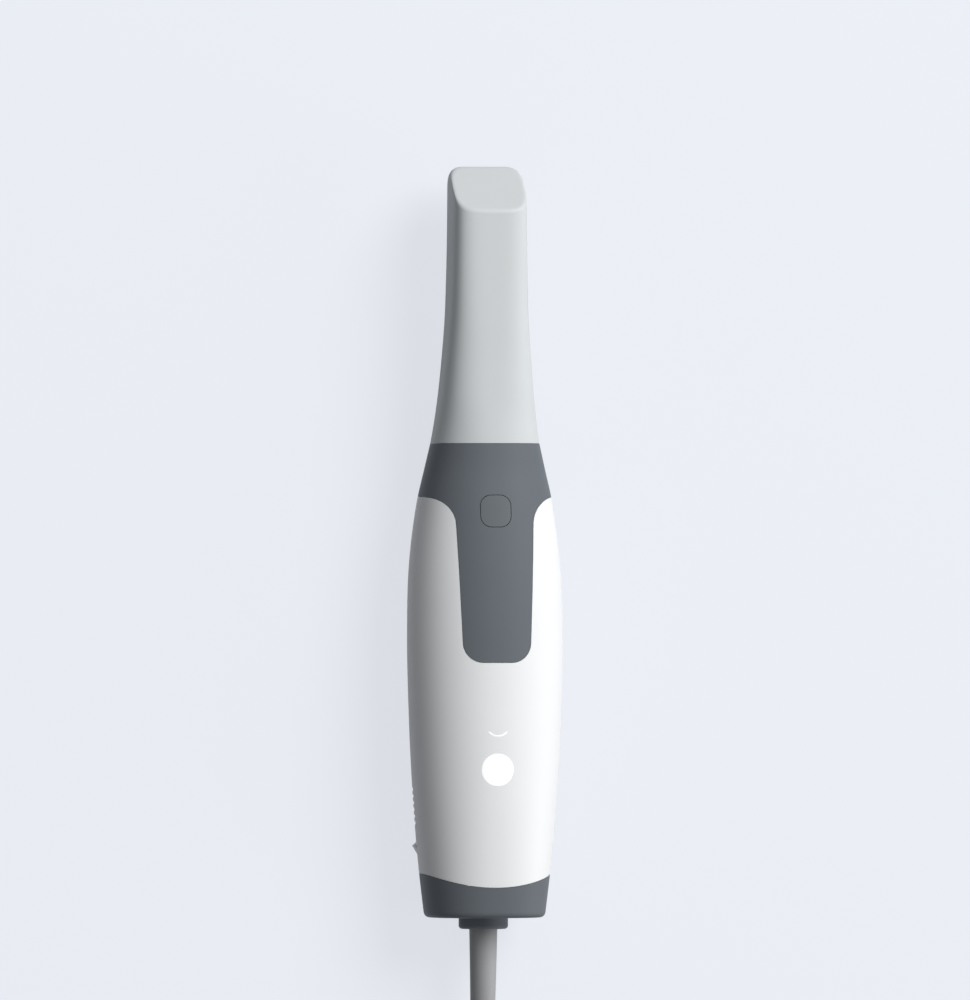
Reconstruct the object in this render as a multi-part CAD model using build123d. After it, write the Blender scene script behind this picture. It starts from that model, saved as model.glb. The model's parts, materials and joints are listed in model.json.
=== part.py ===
"""Intraoral scanner handpiece, lying on its belly with the button side up.

+Y runs towards the tip, +Z is up, and the origin is under the middle of the handpiece.
All lengths are millimetres.
"""

import math
import os

from build123d import *

# Handpiece outline
handle_length = 151.5
tip_length = 88.5
body_width = 50.0
body_depth = 38.6
cut_overrun = 30.0

# Walls
housing_wall = 2.0
skin_wall = 1.0
tip_wall = 1.4
cap_floor = 2.5
front_wall = 2.0
running_gap = 0.3
fit_gap = 0.05

# Handle seams
parting_height = 15.0
lip_height = 1.5
lap_length = 4.0
cap_seam_flank = 14.2
cap_seam_centre = 9.7
collar_ring = 17.1
tongue_length = 52.8
tongue_root_half = 12.9
tongue_end_half = 10.8
tongue_root_radius = 9.0
tongue_end_radius = 6.4
cap_edge_radius = 2.2

# Vents and catch on the flanks
vent_count = 6
vent_pitch = 2.15
vent_width = 1.0
vent_height = 8.0
vent_start = 29.7
catch_start = 19.6
catch_length = 5.1
catch_rise = 1.6
catch_height = 4.0
catch_front = 1.6
catch_flank_share = 0.9
catch_heel_sink = 0.6
catch_toe_sink = 0.2

# Scanning tip
facet_rise = 14.1
facet_drop = 14.1
heel_back = 4.6
tip_edge_radius = 1.2
heel_rise = 0.9
seam_gap = 0.2
window_length = 13.5
window_width = 16.0
window_radius = 3.0
window_start = 5.2
mirror_thickness = 1.0
mirror_margin = 1.2

# Nose that the tip pushes over
nose_width = 21.6
nose_height = 16.4
nose_radius = 4.6
nose_wall = 1.5
nose_reach = 30.5
nose_flange_thickness = 2.2
optical_axis = 20.6
glass_thickness = 1.5
glass_ledge = 0.7
seal_thickness = 1.2
seal_depth = 0.6
seal_place = 2.6
seal_rise = 0.2
spring_length = 15.0
spring_width = 4.0
spring_thickness = 0.3
spring_clearance = 0.4
spring_place = 7.0
spigot_length = 5.0
spigot_wall = 0.8

# Scan button
button_width = 9.75
button_length = 10.0
button_radius = 3.8
button_place = 21.6
button_gap = 0.2
button_travel = 0.5
button_stem_length = 0.8
button_stem_radius = 1.9
switch_size = 5.0
switch_height = 1.4
plunger_radius = 1.2
plunger_rise = 0.5
button_board_width = 18.0
button_board_length = 15.0
board_thickness = 0.8
button_board_top = 30.9
board_post_radius = 1.7
board_post_inset = 2.2

# Indicators on the upper shell
disc_diameter = 10.5
disc_place = 47.45
bar_place = 58.0
bar_span = 6.1
bar_sag = 1.35
bar_stroke = 0.65
indicator_board_width = 14.0
indicator_board_length = 27.0
indicator_board_place = 51.5
indicator_board_top = 31.2
led_size = 3.0
led_height = 1.1

# Optical bench, projector and cameras
block_width = 21.0
block_height = 15.6
block_length = 12.0
block_radius = 4.0
rail_width = 20.0
rail_thickness = 2.5
rail_top = 12.5
rail_length = 58.5
flex_slot_width = 7.0
flex_slot_length = 5.0
projector_rise = 2.9
projector_radius = 3.4
projector_body_width = 16.0
projector_body_height = 11.2
projector_body_length = 21.0
projector_body_gap = 4.6
camera_drop = 3.2
camera_side = 5.8
camera_radius = 2.9
camera_board_width = 18.6
camera_board_height = 6.0
lens_thickness = 1.2
lens_inset = 0.5
barrel_wall = 0.6
sink_width = 18.0
sink_height = 17.0
sink_length = 20.0
sink_base = 2.5
fin_count = 7
fin_thickness = 1.0
bench_post_radius = 2.4
bench_post_side = 7.0

# Cooling fan
fan_size = 24.0
fan_depth = 7.0
fan_place = 76.0
fan_axis = 20.2
fan_corner = 3.0
fan_bore_radius = 11.2
fan_tip_gap = 0.5
hub_radius = 4.6
hub_wall = 0.8
blade_count = 7
blade_thickness = 0.7
blade_angle = 38.0
spoke_width = 1.6
spoke_depth = 1.2
shaft_radius = 0.75
shaft_length = 4.0
bearing_radius = 1.8

# Main board
board_width = 24.0
board_length = 66.0
board_start = 19.0
board_top = 6.3
screw_radius = 0.9
screw_head_radius = 1.8
screw_head_height = 1.3
processor_size = 13.0
processor_height = 1.6
memory_width = 8.0
memory_length = 10.0
memory_height = 1.1
socket_width = 14.0
socket_length = 8.0
socket_height = 5.5
flex_width = 5.0
flex_thickness = 0.2
flex_radius = 2.0

# Cap screws
cap_screw_side = 12.6
cap_screw_drop = 4.6
cap_screw_length = 9.0
cap_screw_recess = 1.7
cap_boss_radius = 2.9
cap_boss_length = 8.0

# Cable, gland and strain relief
cable_diameter = 6.5
cable_axis = 16.5
gland_radius = 7.9
gland_thickness = 3.7
gland_edge_radius = 1.1
gland_neck_radius = 6.4
gland_neck_length = 7.0
nut_flat_radius = 8.4
nut_thickness = 3.2
boot_root_radius = 4.55
boot_end_radius = 3.98
boot_length = 25.0
boot_seat = 2.5
cable_inside = 4.0
wire_radius = 0.55
wire_pitch = 1.5
wire_count = 4

# Hank of the length that the photo doesn't show
hank_place = 60.4
hank_length = 100.0
hank_turn_radius = 19.5
hank_layers = 3
hank_edge_radius = 2.6
tie_width = 12.0
tie_thickness = 0.8

# Plug on the far end
grip_length = 24.0
grip_width = 15.0
grip_height = 7.6
grip_radius = 2.4
plug_width = 12.0
plug_height = 4.5
plug_length = 18.6
plug_wall = 0.4
tongue_thickness = 1.8
tongue_inset = 1.0
plug_neck_radius = 3.7
plug_neck_end_radius = 3.4
plug_neck_length = 8.0

# Places along the handle, from its rear face
rear_face = -(handle_length + tip_length) / 2
seam_face = rear_face + handle_length
tip_end = seam_face + tip_length
collar_edge = seam_face - collar_ring
tongue_end = collar_edge - tongue_length
button_centre = seam_face - button_place
disc_centre = rear_face + disc_place
bar_centre = rear_face + bar_place
nose_end = seam_face + nose_reach
cable_radius = cable_diameter / 2
screw_axis = cable_axis - cap_screw_drop
lift = cable_radius + tie_thickness
hank_inner = hank_turn_radius - cable_radius
hank_outer = hank_inner + 2 * cable_diameter
hank_front = rear_face - hank_place
hank_middle = hank_front - hank_length / 2
hank_flat = tie_thickness + hank_layers * cable_diameter
hank_top = hank_flat + cable_diameter
board_bottom = board_top - 2 * board_thickness

section_points = 20

# Each row: place along the handle, half width, top, underside (shares), squareness
handle_station_shares = [
    (0.000, 0.768, 0.896, 0.052, 2.30),
    (0.094, 0.836, 0.938, 0.014, 2.25),
    (0.198, 0.895, 0.971, -0.008, 2.20),
    (0.313, 0.946, 0.992, -0.016, 2.15),
    (0.462, 0.986, 1.000, -0.016, 2.15),
    (0.607, 1.000, 0.990, -0.016, 2.15),
    (0.754, 0.966, 0.956, -0.012, 2.18),
    (0.838, 0.905, 0.922, 0.016, 2.22),
    (0.887, 0.855, 0.898, 0.044, 2.26),
    (0.943, 0.775, 0.868, 0.081, 2.32),
    (1.000, 0.694, 0.848, 0.119, 2.40),
]

# Height of the tip's crown and sole at its end
tip_crown_share = 0.832
tip_sole_share = 0.303

# The same as the handle's rows, along the tip's own length from the seam
tip_station_shares = [
    (0.000, 0.694, 0.848, 0.119, 2.40),
    (0.085, 0.644, 0.842, 0.166, 2.60),
    (0.157, 0.608, 0.837, 0.199, 2.90),
    (0.299, 0.558, 0.832, 0.246, 3.20),
    (0.445, 0.517, 0.832, 0.275, 3.60),
    (0.593, 0.496, 0.832, 0.290, 4.00),
    (0.734, 0.484, 0.832, 0.298, 4.30),
    (0.864, 0.478, 0.832, 0.301, 4.50),
    (1.040, 0.474, 0.832, 0.303, 4.50),
]


def block(size_x, size_y, size_z, x, y, z):
    """Box about its centre."""
    return Pos(x, y, z) * Box(size_x, size_y, size_z)


def span_box(size_x, start, end, low, high, x=0):
    """Box between two places along the handle and two heights."""
    return block(size_x, end - start, high - low, x, (start + end) / 2, (low + high) / 2)


def rod_along(radius, start, end, x, z):
    """Round bar along the handle."""
    return Pos(x, (start + end) / 2, z) * Rot(90, 0, 0) * Cylinder(radius, end - start)


def rod_up(radius, low, high, x, y):
    """Round bar upright."""
    return Pos(x, y, (low + high) / 2) * Cylinder(radius, high - low)


def cone_along(rear_radius, front_radius, start, end, x, z):
    """Tapered round bar along the handle, rear radius first."""
    turned = Pos(x, (start + end) / 2, z) * Rot(-90, 0, 0)
    return turned * Cone(rear_radius, front_radius, end - start)


def rounded_bar(width, height, radius, start, end, x, z):
    """Bar along the handle with a rounded rectangle section."""
    outline = Plane(origin=(x, start, z), x_dir=(1, 0, 0), z_dir=(0, 1, 0)) * RectangleRounded(
        width, height, radius
    )
    return extrude(outline, amount=end - start)


def section_loop(place, half_width, top, underside, squareness, inset):
    """Closed oval section across the handle, drawn in by a wall."""
    across = half_width - inset
    upright = (top - underside) / 2 - inset
    middle = (top + underside) / 2
    points = []
    for step in range(section_points):
        angle = 2 * math.pi * step / section_points
        wide = abs(math.cos(angle)) / across
        tall = abs(math.sin(angle)) / upright
        reach = (wide**squareness + tall**squareness) ** (-1 / squareness)
        points.append((reach * math.cos(angle), place, middle + reach * math.sin(angle)))
    return Wire([Spline(*points, periodic=True)])


def lofted_hull(station_shares, start, length, inset):
    """Body through all stations, each drawn in by the inset."""
    loops = []
    for place_share, width_share, top_share, under_share, squareness in station_shares:
        loops.append(
            section_loop(
                start + place_share * length,
                width_share * body_width / 2,
                top_share * body_depth,
                under_share * body_depth,
                squareness,
                inset,
            )
        )
    return Part() + Solid.make_loft(loops)


def handle_hull(inset):
    """Handle form drawn in by a wall."""
    return lofted_hull(handle_station_shares, rear_face, handle_length, inset)


def slab_over(outline, low, high):
    """Solid of a flat outline between two heights."""
    return extrude(Pos(0, 0, low) * outline, amount=high - low)


def collar_outline():
    """Collar ring and tongue as seen from above."""
    side = body_width
    points = [
        (-side, seam_face + cut_overrun),
        (side, seam_face + cut_overrun),
        (side, collar_edge),
        (tongue_root_half, collar_edge),
        (tongue_end_half, tongue_end),
        (-tongue_end_half, tongue_end),
        (-tongue_root_half, collar_edge),
        (-side, collar_edge),
    ]
    corner, end = tongue_root_radius, tongue_end_radius
    edge = FilletPolyline(*points, radius=[0, 0, 0, corner, end, end, corner, 0], close=True)
    return make_face(edge)


def cap_outline():
    """Rear cap as seen from above, its seam an arc that dips in the middle."""
    side = body_width / 2
    flank = rear_face + cap_seam_flank
    centre = rear_face + cap_seam_centre
    back = rear_face - cut_overrun
    seam = ThreePointArc((-side, flank), (0, centre), (side, flank))
    rest = Polyline((side, flank), (side, back), (-side, back), (-side, flank))
    return make_face([seam, rest])


def button_outline(grow):
    """Scan button as seen from above."""
    pad = RectangleRounded(button_width + 2 * grow, button_length + 2 * grow, button_radius + grow)
    return Pos(0, button_centre) * pad


def bar_outline(grow):
    """Curved light bar as seen from above."""
    half = bar_span / 2
    line = ThreePointArc((-half, bar_centre + bar_sag), (0, bar_centre), (half, bar_centre + bar_sag))
    return SlotArc(line, bar_stroke + 2 * grow)


class HandleForms:
    """The handle's outside, half-wall and inside forms, and the cutters along its seams."""

    def __init__(self):
        self.outside = handle_hull(0) & span_box(
            2 * body_width, rear_face, seam_face, 0, 2 * body_depth
        )
        self.half_wall = handle_hull(skin_wall)
        self.inside = handle_hull(housing_wall)
        low, high = -cut_overrun, body_depth + cut_overrun
        ring = span_box(4 * body_width, collar_edge, seam_face + cut_overrun, low, high)
        tongue = slab_over(collar_outline(), parting_height, high)
        self.collar_zone = ring + tongue
        self.cap_zone = slab_over(cap_outline(), low, high)
        self.wall = self.outside - self.inside
        self.spigot_front = collar_edge + lap_length
        self.spigot_rear = rear_face + cap_seam_centre - lap_length
        self.low, self.high = low, high

    def shell_blank(self, low, high):
        """Housing wall between two heights, with spigots under the collar and in the cap."""
        reach = span_box(2 * body_width, self.spigot_rear, self.spigot_front, low, high)
        return (self.wall & reach) - (self.collar_zone + self.cap_zone - self.half_wall)


def top_posts():
    """Posts inside the upper shell that carry the button and indicator boards."""
    posts = Part()
    side = button_board_width / 2 - board_post_inset
    reach = button_board_length / 2 - board_post_inset
    for x in (-side, side):
        for y in (button_centre - reach, button_centre + reach):
            posts += rod_up(board_post_radius, button_board_top, body_depth, x, y)
    middle = rear_face + indicator_board_place
    reach = indicator_board_length / 2 - board_post_inset
    side = indicator_board_width / 2 - board_post_inset
    for x in (-side, side):
        for y in (middle - reach, middle + reach):
            posts += rod_up(board_post_radius, indicator_board_top, body_depth, x, y)
    return posts


def make_top_shell(forms):
    """White upper shell with the tongue recess, guide holes, button well and posts."""
    shell = forms.shell_blank(parting_height, forms.high)
    lip = span_box(
        2 * body_width,
        rear_face,
        seam_face,
        parting_height - cut_overrun,
        parting_height + lip_height + fit_gap,
    )
    holes = [
        lip & forms.half_wall,
        slab_over(button_outline(button_gap), body_depth / 2, forms.high),
        rod_up(disc_diameter / 2, body_depth / 2, forms.high, 0, disc_centre),
        slab_over(bar_outline(0), body_depth / 2, forms.high),
    ]
    return (shell - holes) + (top_posts() & forms.half_wall)


def button_pad_bottom():
    """Underside of the button pad."""
    return button_board_top + switch_height + plunger_rise + button_stem_length


def make_bottom_shell(forms):
    """White lower shell with lip, flat belly, vents, catches and posts."""
    shell = forms.shell_blank(forms.low, parting_height + lip_height)
    lip = span_box(
        2 * body_width, rear_face, seam_face, parting_height, parting_height + cut_overrun
    )
    holes = [lip - forms.half_wall] + vent_slots()
    posts = [(floor_posts() + cap_bosses(forms)) & forms.half_wall, catches() - forms.half_wall]
    shell = (shell - holes) + posts
    pilots = [
        rod_up(screw_radius, board_bottom - screw_head_radius, board_top, x, y)
        for x, y in board_screw_places()
    ]
    for x in (-cap_screw_side, cap_screw_side):
        end = forms.spigot_rear + cap_boss_length
        pilots.append(rod_along(screw_radius + fit_gap, rear_face, end, x, screw_axis))
    return shell - pilots


def vent_slots():
    """Cutters of the upright vent slots in both flanks."""
    slots = []
    for number in range(vent_count):
        start = rear_face + vent_start + number * vent_pitch
        top = parting_height - vent_width
        for side in (-1, 1):
            slots.append(
                span_box(
                    body_width / 2,
                    start,
                    start + vent_width,
                    top - vent_height,
                    top,
                    side * body_width / 2,
                )
            )
    return slots


def cap_bosses(forms):
    """Screw bosses at the rear of the lower shell, each on a rib from the flank."""
    start = forms.spigot_rear
    bosses = Part()
    for side in (-1, 1):
        x = side * cap_screw_side
        bosses += rod_along(cap_boss_radius, start, start + cap_boss_length, x, screw_axis)
        middle = x + side * body_width / 8
        bosses += span_box(
            body_width / 4,
            start,
            start + cap_boss_length,
            screw_axis - skin_wall,
            screw_axis + skin_wall,
            middle,
        )
    return bosses


def catches():
    """Wedge on each flank, steep towards the tip and gentle to the rear."""
    start = rear_face + catch_start
    front = start + catch_length
    flank = catch_flank_share * body_width / 2
    wedges = Part()
    for side in (-1, 1):
        outline = Polyline(
            (side * (flank - housing_wall), start),
            (side * (flank - catch_heel_sink), start),
            (side * (flank + catch_rise), front - catch_front),
            (side * (flank - catch_toe_sink), front),
            (side * (flank - housing_wall), front),
            close=True,
        )
        wedges += slab_over(make_face(outline), parting_height - catch_height, parting_height)
    return wedges


def board_screw_places():
    """Where the main board is screwed down."""
    side = board_width / 2 - board_post_inset
    start = rear_face + board_start + board_post_inset
    end = rear_face + board_start + board_length - board_post_inset
    return [(-side, start), (side, start), (-side, end), (side, end)]


def bench_post_places():
    """Where the bench rail stands on the lower shell."""
    front = seam_face - front_wall - nose_flange_thickness - block_length
    rear = front + block_length - rail_length + bench_post_radius
    return [(side * bench_post_side, place) for side in (-1, 1) for place in (rear, front)]


def floor_posts():
    """Posts on the floor of the lower shell."""
    posts = Part()
    for x, y in board_screw_places():
        posts += rod_up(screw_head_radius, 0, board_bottom, x, y)
    for x, y in bench_post_places():
        posts += rod_up(bench_post_radius, 0, rail_top - rail_thickness, x, y)
    return posts


def make_front_collar(forms):
    """Grey collar ring with its front wall and spigot, and the long tongue, moulded in one."""
    hollow = forms.inside & span_box(
        2 * body_width, rear_face, seam_face - front_wall, forms.low, forms.high
    )
    collar = (forms.outside & forms.collar_zone) - hollow
    collar -= forms.half_wall & span_box(
        2 * body_width, rear_face, forms.spigot_front + fit_gap, forms.low, forms.high
    )
    collar -= rounded_bar(
        nose_width + 2 * fit_gap,
        nose_height + 2 * fit_gap,
        nose_radius + fit_gap,
        seam_face - front_wall - cut_overrun,
        seam_face + cut_overrun,
        0,
        optical_axis,
    )
    collar -= slab_over(button_outline(button_gap), body_depth / 2, forms.high)
    return collar + nose_spigot() - make_nose_seal()


def nose_spigot():
    """Short ring on the collar's front face that centres the tip."""
    inset = tip_wall + running_gap + seal_rise
    return front_ring(inset, inset + spigot_wall, 0, spigot_length)


def front_ring(outer_inset, inner_inset, start, length):
    """Ring in the tip's form, a little way in front of the collar."""
    ring = tip_hull(outer_inset) - tip_hull(inner_inset)
    place = seam_face + start
    return ring & span_box(2 * body_width, place, place + length, -cut_overrun, 2 * body_depth)


def make_nose_seal():
    """Rubber ring in the spigot's groove, standing a little proud."""
    inset = tip_wall + running_gap
    return front_ring(inset, inset + seal_depth, seal_place, seal_thickness)


def make_rear_cap(forms):
    """Grey rear cap, a cup with the gland bore and two screw recesses."""
    hollow = forms.inside & span_box(
        2 * body_width, rear_face + cap_floor, seam_face, forms.low, forms.high
    )
    cup = forms.outside & forms.cap_zone
    rim = cup.faces().sort_by(Axis.Y)[0].edges()
    cup = fillet(rim, cap_edge_radius)
    cup -= hollow
    cup -= forms.half_wall & span_box(
        2 * body_width, forms.spigot_rear - fit_gap, seam_face, forms.low, forms.high
    )
    cup -= rod_along(gland_neck_radius, rear_face - cut_overrun, rear_face + cut_overrun, 0, cable_axis)
    for x in (-cap_screw_side, cap_screw_side):
        cup -= rod_along(screw_radius + fit_gap, rear_face, rear_face + cut_overrun, x, screw_axis)
        cup -= rod_along(
            screw_head_radius + fit_gap, rear_face, rear_face + cap_screw_recess, x, screw_axis
        )
    return cup


def tip_hull(inset):
    """Tip form drawn in by a wall."""
    return lofted_hull(tip_station_shares, seam_face, tip_length, inset)


def tip_profile(inset):
    """Side outline of the tip's end: slanted face, rounded heel."""
    crown = tip_crown_share * body_depth
    end = tip_end - inset
    sole = tip_sole_share * body_depth + inset - heel_rise
    mitre = inset * math.tan(math.atan2(facet_rise, facet_drop) / 2)
    facet_low = (end, crown - facet_drop - mitre)
    facet_far = (
        tip_end - facet_rise - mitre - cut_overrun * facet_rise / facet_drop,
        crown - inset + cut_overrun,
    )
    back = seam_face - tip_length
    heel = (end - heel_back, sole)
    outline = [
        Polyline((back, sole - cut_overrun), (back, facet_far[1]), facet_far, facet_low),
        ThreePointArc(facet_low, (end - heel_rise, (facet_low[1] + sole) / 2), heel),
        Polyline(heel, (heel[0], sole - cut_overrun), (back, sole - cut_overrun)),
    ]
    side = Plane(origin=(-body_width, 0, 0), x_dir=(0, 1, 0), z_dir=(1, 0, 0))
    return extrude(side * make_face(outline), amount=2 * body_width)


def make_tip_shell():
    """Pull-off tip: thin sleeve with a slanted end and the scanning window underneath."""
    seat = span_box(
        2 * body_width, seam_face + seam_gap, tip_end + cut_overrun, -cut_overrun, 2 * body_depth
    )
    shell = (tip_hull(0) & tip_profile(0)) & seat
    facet = shell.faces().filter_by(GeomType.PLANE).sort_by(Axis((0, 0, 0), (0, 1, 1)))[-1]
    shell = fillet(facet.edges(), tip_edge_radius)
    shell -= tip_hull(tip_wall) & tip_profile(tip_wall)
    return shell - tip_window()


def tip_window():
    """Scanning window through the underside of the tip."""
    end = tip_end - window_start
    outline = RectangleRounded(window_width, window_length, window_radius)
    place = Pos(0, end - window_length / 2)
    return slab_over(place * outline, -cut_overrun, body_depth / 2)


def make_tip_mirror():
    """Mirror glued to the inside of the slanted face."""
    clear = tip_profile(tip_wall) - tip_profile(tip_wall + mirror_thickness)
    plate = clear & tip_hull(tip_wall + mirror_margin)
    top = tip_crown_share * body_depth - tip_wall - mirror_margin
    low = tip_crown_share * body_depth - facet_drop
    return plate & span_box(body_width, tip_end - 2 * facet_rise, tip_end, low, top)


def make_nose_tube(forms):
    """Rounded tube that the tip pushes over, with an oval bulkhead behind the collar's wall."""
    start = seam_face - front_wall - nose_flange_thickness
    tube = rounded_bar(nose_width, nose_height, nose_radius, start, nose_end, 0, optical_axis)
    bulkhead = handle_hull(housing_wall + fit_gap) & span_box(
        2 * body_width, start, start + nose_flange_thickness, forms.low, forms.high
    )
    bore = rounded_bar(
        nose_width - 2 * nose_wall,
        nose_height - 2 * nose_wall,
        nose_radius - nose_wall,
        start,
        nose_end,
        0,
        optical_axis,
    )
    return (tube + bulkhead) - [bore, glass_form(0)]


def glass_form(gap):
    """Pane that closes the nose, seated in a ledge at its end."""
    shrink = 2 * (nose_wall - glass_ledge + gap)
    return rounded_bar(
        nose_width - shrink,
        nose_height - shrink,
        nose_radius - shrink / 2,
        nose_end - glass_thickness,
        nose_end,
        0,
        optical_axis,
    )


def tip_half_width(place):
    """Half width of the tip at a place along it, between the two nearest stations."""
    share = (place - seam_face) / tip_length
    for near, far in zip(tip_station_shares, tip_station_shares[1:]):
        if near[0] <= share <= far[0]:
            between = (share - near[0]) / (far[0] - near[0])
            return (near[1] + between * (far[1] - near[1])) * body_width / 2


def make_nose_springs():
    """Two flat springs on the nose's sides, bowed out towards the inside of the tip."""
    springs = Part()
    start = seam_face + spring_place
    low = optical_axis - spring_width / 2
    room = tip_half_width(start + spring_length / 2) - tip_wall - spring_clearance
    bow = room - spring_thickness - nose_width / 2
    for side in (-1, 1):
        foot = side * nose_width / 2
        inner = ThreePointArc(
            (foot, start),
            (foot + side * bow, start + spring_length / 2),
            (foot, start + spring_length),
        )
        outer = ThreePointArc(
            (foot, start + spring_length + spring_thickness),
            (foot + side * (bow + spring_thickness), start + spring_length / 2),
            (foot, start - spring_thickness),
        )
        ends = [Line(inner @ 1, outer @ 0), Line(outer @ 1, inner @ 0)]
        springs += slab_over(make_face([inner, ends[0], outer, ends[1]]), low, low + spring_width)
    return springs


def make_scan_button(forms):
    """Button pad flush with the collar, with its stem."""
    pad = forms.outside & slab_over(button_outline(0), button_pad_bottom(), forms.high)
    stem_low = button_board_top + switch_height + plunger_rise
    return pad + rod_up(button_stem_radius, stem_low, button_pad_bottom(), 0, button_centre)


def make_switch_plunger():
    """Plunger of the switch, pushed by the button's stem."""
    low = button_board_top + switch_height / 2
    high = button_board_top + switch_height + plunger_rise
    return rod_up(plunger_radius, low + plunger_rise / 2, high, 0, button_centre)


def make_button_switch():
    """Low switch with a bore for its plunger."""
    middle = button_board_top + switch_height / 2
    body = block(switch_size, switch_size, switch_height, 0, button_centre, middle)
    well = button_board_top + plunger_rise / 2
    return body - rod_up(
        plunger_radius + fit_gap, well, button_board_top + 2 * switch_height, 0, button_centre
    )


def make_button_board():
    """Small board under the button."""
    outline = Pos(0, button_centre) * RectangleRounded(
        button_board_width, button_board_length, board_post_inset
    )
    return slab_over(outline, button_board_top - board_thickness, button_board_top)


def make_disc_guide(forms):
    """Round light guide, flush with the shell."""
    radius = disc_diameter / 2 - fit_gap
    head = rod_up(radius, indicator_board_top + led_height + running_gap, forms.high, 0, disc_centre)
    return forms.outside & head


def make_bar_guide(forms):
    """Curved light bar, flush with the shell."""
    low = indicator_board_top + led_height + running_gap
    return forms.outside & slab_over(bar_outline(-fit_gap), low, forms.high)


def make_indicator_board():
    """Board under the light guides."""
    outline = Pos(0, rear_face + indicator_board_place) * RectangleRounded(
        indicator_board_width, indicator_board_length, board_post_inset
    )
    return slab_over(outline, indicator_board_top - board_thickness, indicator_board_top)


def make_indicator_leds():
    """Light-emitting diodes under the two guides."""
    middle = indicator_board_top + led_height / 2
    leds = block(led_size, led_size, led_height, 0, disc_centre, middle)
    return leds + block(led_size, led_size / 2, led_height, 0, bar_centre, middle)


bench_front = seam_face - front_wall - nose_flange_thickness
bench_rear = bench_front - rail_length
camera_face = bench_front - block_length
projector_front = bench_front - block_length - projector_body_gap


def barrel_places():
    """Height, side and radius of the projector and camera bores."""
    return [
        (0, optical_axis + projector_rise, projector_radius),
        (-camera_side, optical_axis - camera_drop, camera_radius),
        (camera_side, optical_axis - camera_drop, camera_radius),
    ]


def make_optical_bench():
    """Cast bench: lens block with three bores on a long rail with a slot for the flat cable."""
    middle = optical_axis - skin_wall / 2
    bench = rounded_bar(
        block_width, block_height, block_radius, camera_face, bench_front, 0, middle
    )
    rail_low = rail_top - rail_thickness
    bench += span_box(rail_width, bench_rear, bench_front, rail_low, rail_top)
    foot = middle - block_height / 2 + block_radius
    bench += span_box(block_width - 2 * block_radius, camera_face, bench_front, rail_low, foot)
    for x, z, radius in barrel_places():
        bench -= rod_along(
            radius + fit_gap, camera_face - cut_overrun, bench_front + cut_overrun, x, z
        )
    slot_front = camera_face - board_thickness
    return bench - span_box(
        flex_slot_width, slot_front - flex_slot_length, slot_front, 0, rail_top
    )


def make_barrel(index):
    """Lens barrel in its bore, hollow at the front."""
    x, z, radius = barrel_places()[index]
    rear = camera_face if index else projector_front
    barrel = rod_along(radius, rear, bench_front, x, z)
    return barrel - rod_along(
        radius - barrel_wall, bench_front - block_length / 2, bench_front, x, z
    )


def make_lenses():
    """Front lenses of the projector and cameras."""
    lenses = Part()
    for x, z, radius in barrel_places():
        front = bench_front - lens_inset
        lenses += rod_along(radius - barrel_wall, front - lens_thickness, front, x, z)
    return lenses


def make_projector_body():
    """Light engine behind the lens block."""
    middle = optical_axis + projector_rise
    rear = projector_front - projector_body_length
    body = rounded_bar(
        projector_body_width,
        projector_body_height,
        skin_wall,
        rear,
        projector_front,
        0,
        middle,
    )
    foot = middle - projector_body_height / 2
    return body + span_box(projector_body_width / 2, rear, projector_front, rail_top, foot)


def make_camera_board():
    """Board with both image sensors, behind the camera barrels."""
    middle = optical_axis - camera_drop - skin_wall / 2
    return block(
        camera_board_width,
        board_thickness,
        camera_board_height,
        0,
        camera_face - board_thickness / 2,
        middle,
    )


def make_heat_sink():
    """Finned sink against the rear of the light engine."""
    face = projector_front - projector_body_length
    low, high = rail_top, rail_top + sink_height
    sink = span_box(sink_width, face - sink_base, face, low, high)
    pitch = (sink_width - fin_thickness) / (fin_count - 1)
    for number in range(fin_count):
        x = -sink_width / 2 + fin_thickness / 2 + number * pitch
        sink += span_box(fin_thickness, face - sink_length, face - sink_base, low, high, x)
    return sink


def flat_cable(points, width, x=0):
    """Flat cable that follows a bent line in the side view."""
    plane = Plane(origin=(x, 0, 0), x_dir=(0, 1, 0), z_dir=(-1, 0, 0))
    line = FilletPolyline(*[(x, y, z) for y, z in points], radius=flex_radius)
    start = line @ 0
    heading = line % 0
    face = Plane(origin=start, x_dir=plane.z_dir, z_dir=heading) * Rectangle(width, flex_thickness)
    return sweep(face, path=line)


def make_button_flex():
    """Flat cable from the button board over the heat sink to the main board."""
    rear = button_centre - button_board_length / 2
    over = rail_top + sink_height + flex_radius
    down = projector_front - projector_body_length - sink_length - 2 * flex_radius
    height = button_board_top - board_thickness / 2
    land = board_top + flex_thickness
    points = [
        (rear, height),
        (rear - 2 * flex_radius, height),
        (rear - 5 * flex_radius, over),
        (down, over),
        (down, land),
        (down - 3 * flex_radius, land),
    ]
    return flat_cable(points, flex_width)


def fan_middle():
    """Place of the fan's middle plane."""
    return rear_face + fan_place


def make_fan_housing():
    """Square fan frame with a round bore, three spokes and a bearing tube."""
    rear, front = fan_middle() - fan_depth / 2, fan_middle() + fan_depth / 2
    frame = rounded_bar(fan_size, fan_size, fan_corner, rear, front, 0, fan_axis)
    frame -= rod_along(fan_bore_radius, rear, front, 0, fan_axis)
    for number in range(3):
        turn = Pos(0, rear + spoke_depth / 2, fan_axis) * Rot(0, 120 * number, 0)
        spoke = Pos(0, 0, fan_bore_radius / 2) * Box(spoke_width, spoke_depth, fan_bore_radius + fan_tip_gap)
        frame += turn * spoke
    frame += rod_along(hub_radius, rear, rear + spoke_depth, 0, fan_axis)
    frame += rod_along(bearing_radius, rear, rear + spoke_depth + shaft_length, 0, fan_axis)
    return frame - rod_along(
        shaft_radius + fit_gap, rear + spoke_depth / 2, front, 0, fan_axis
    )


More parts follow.
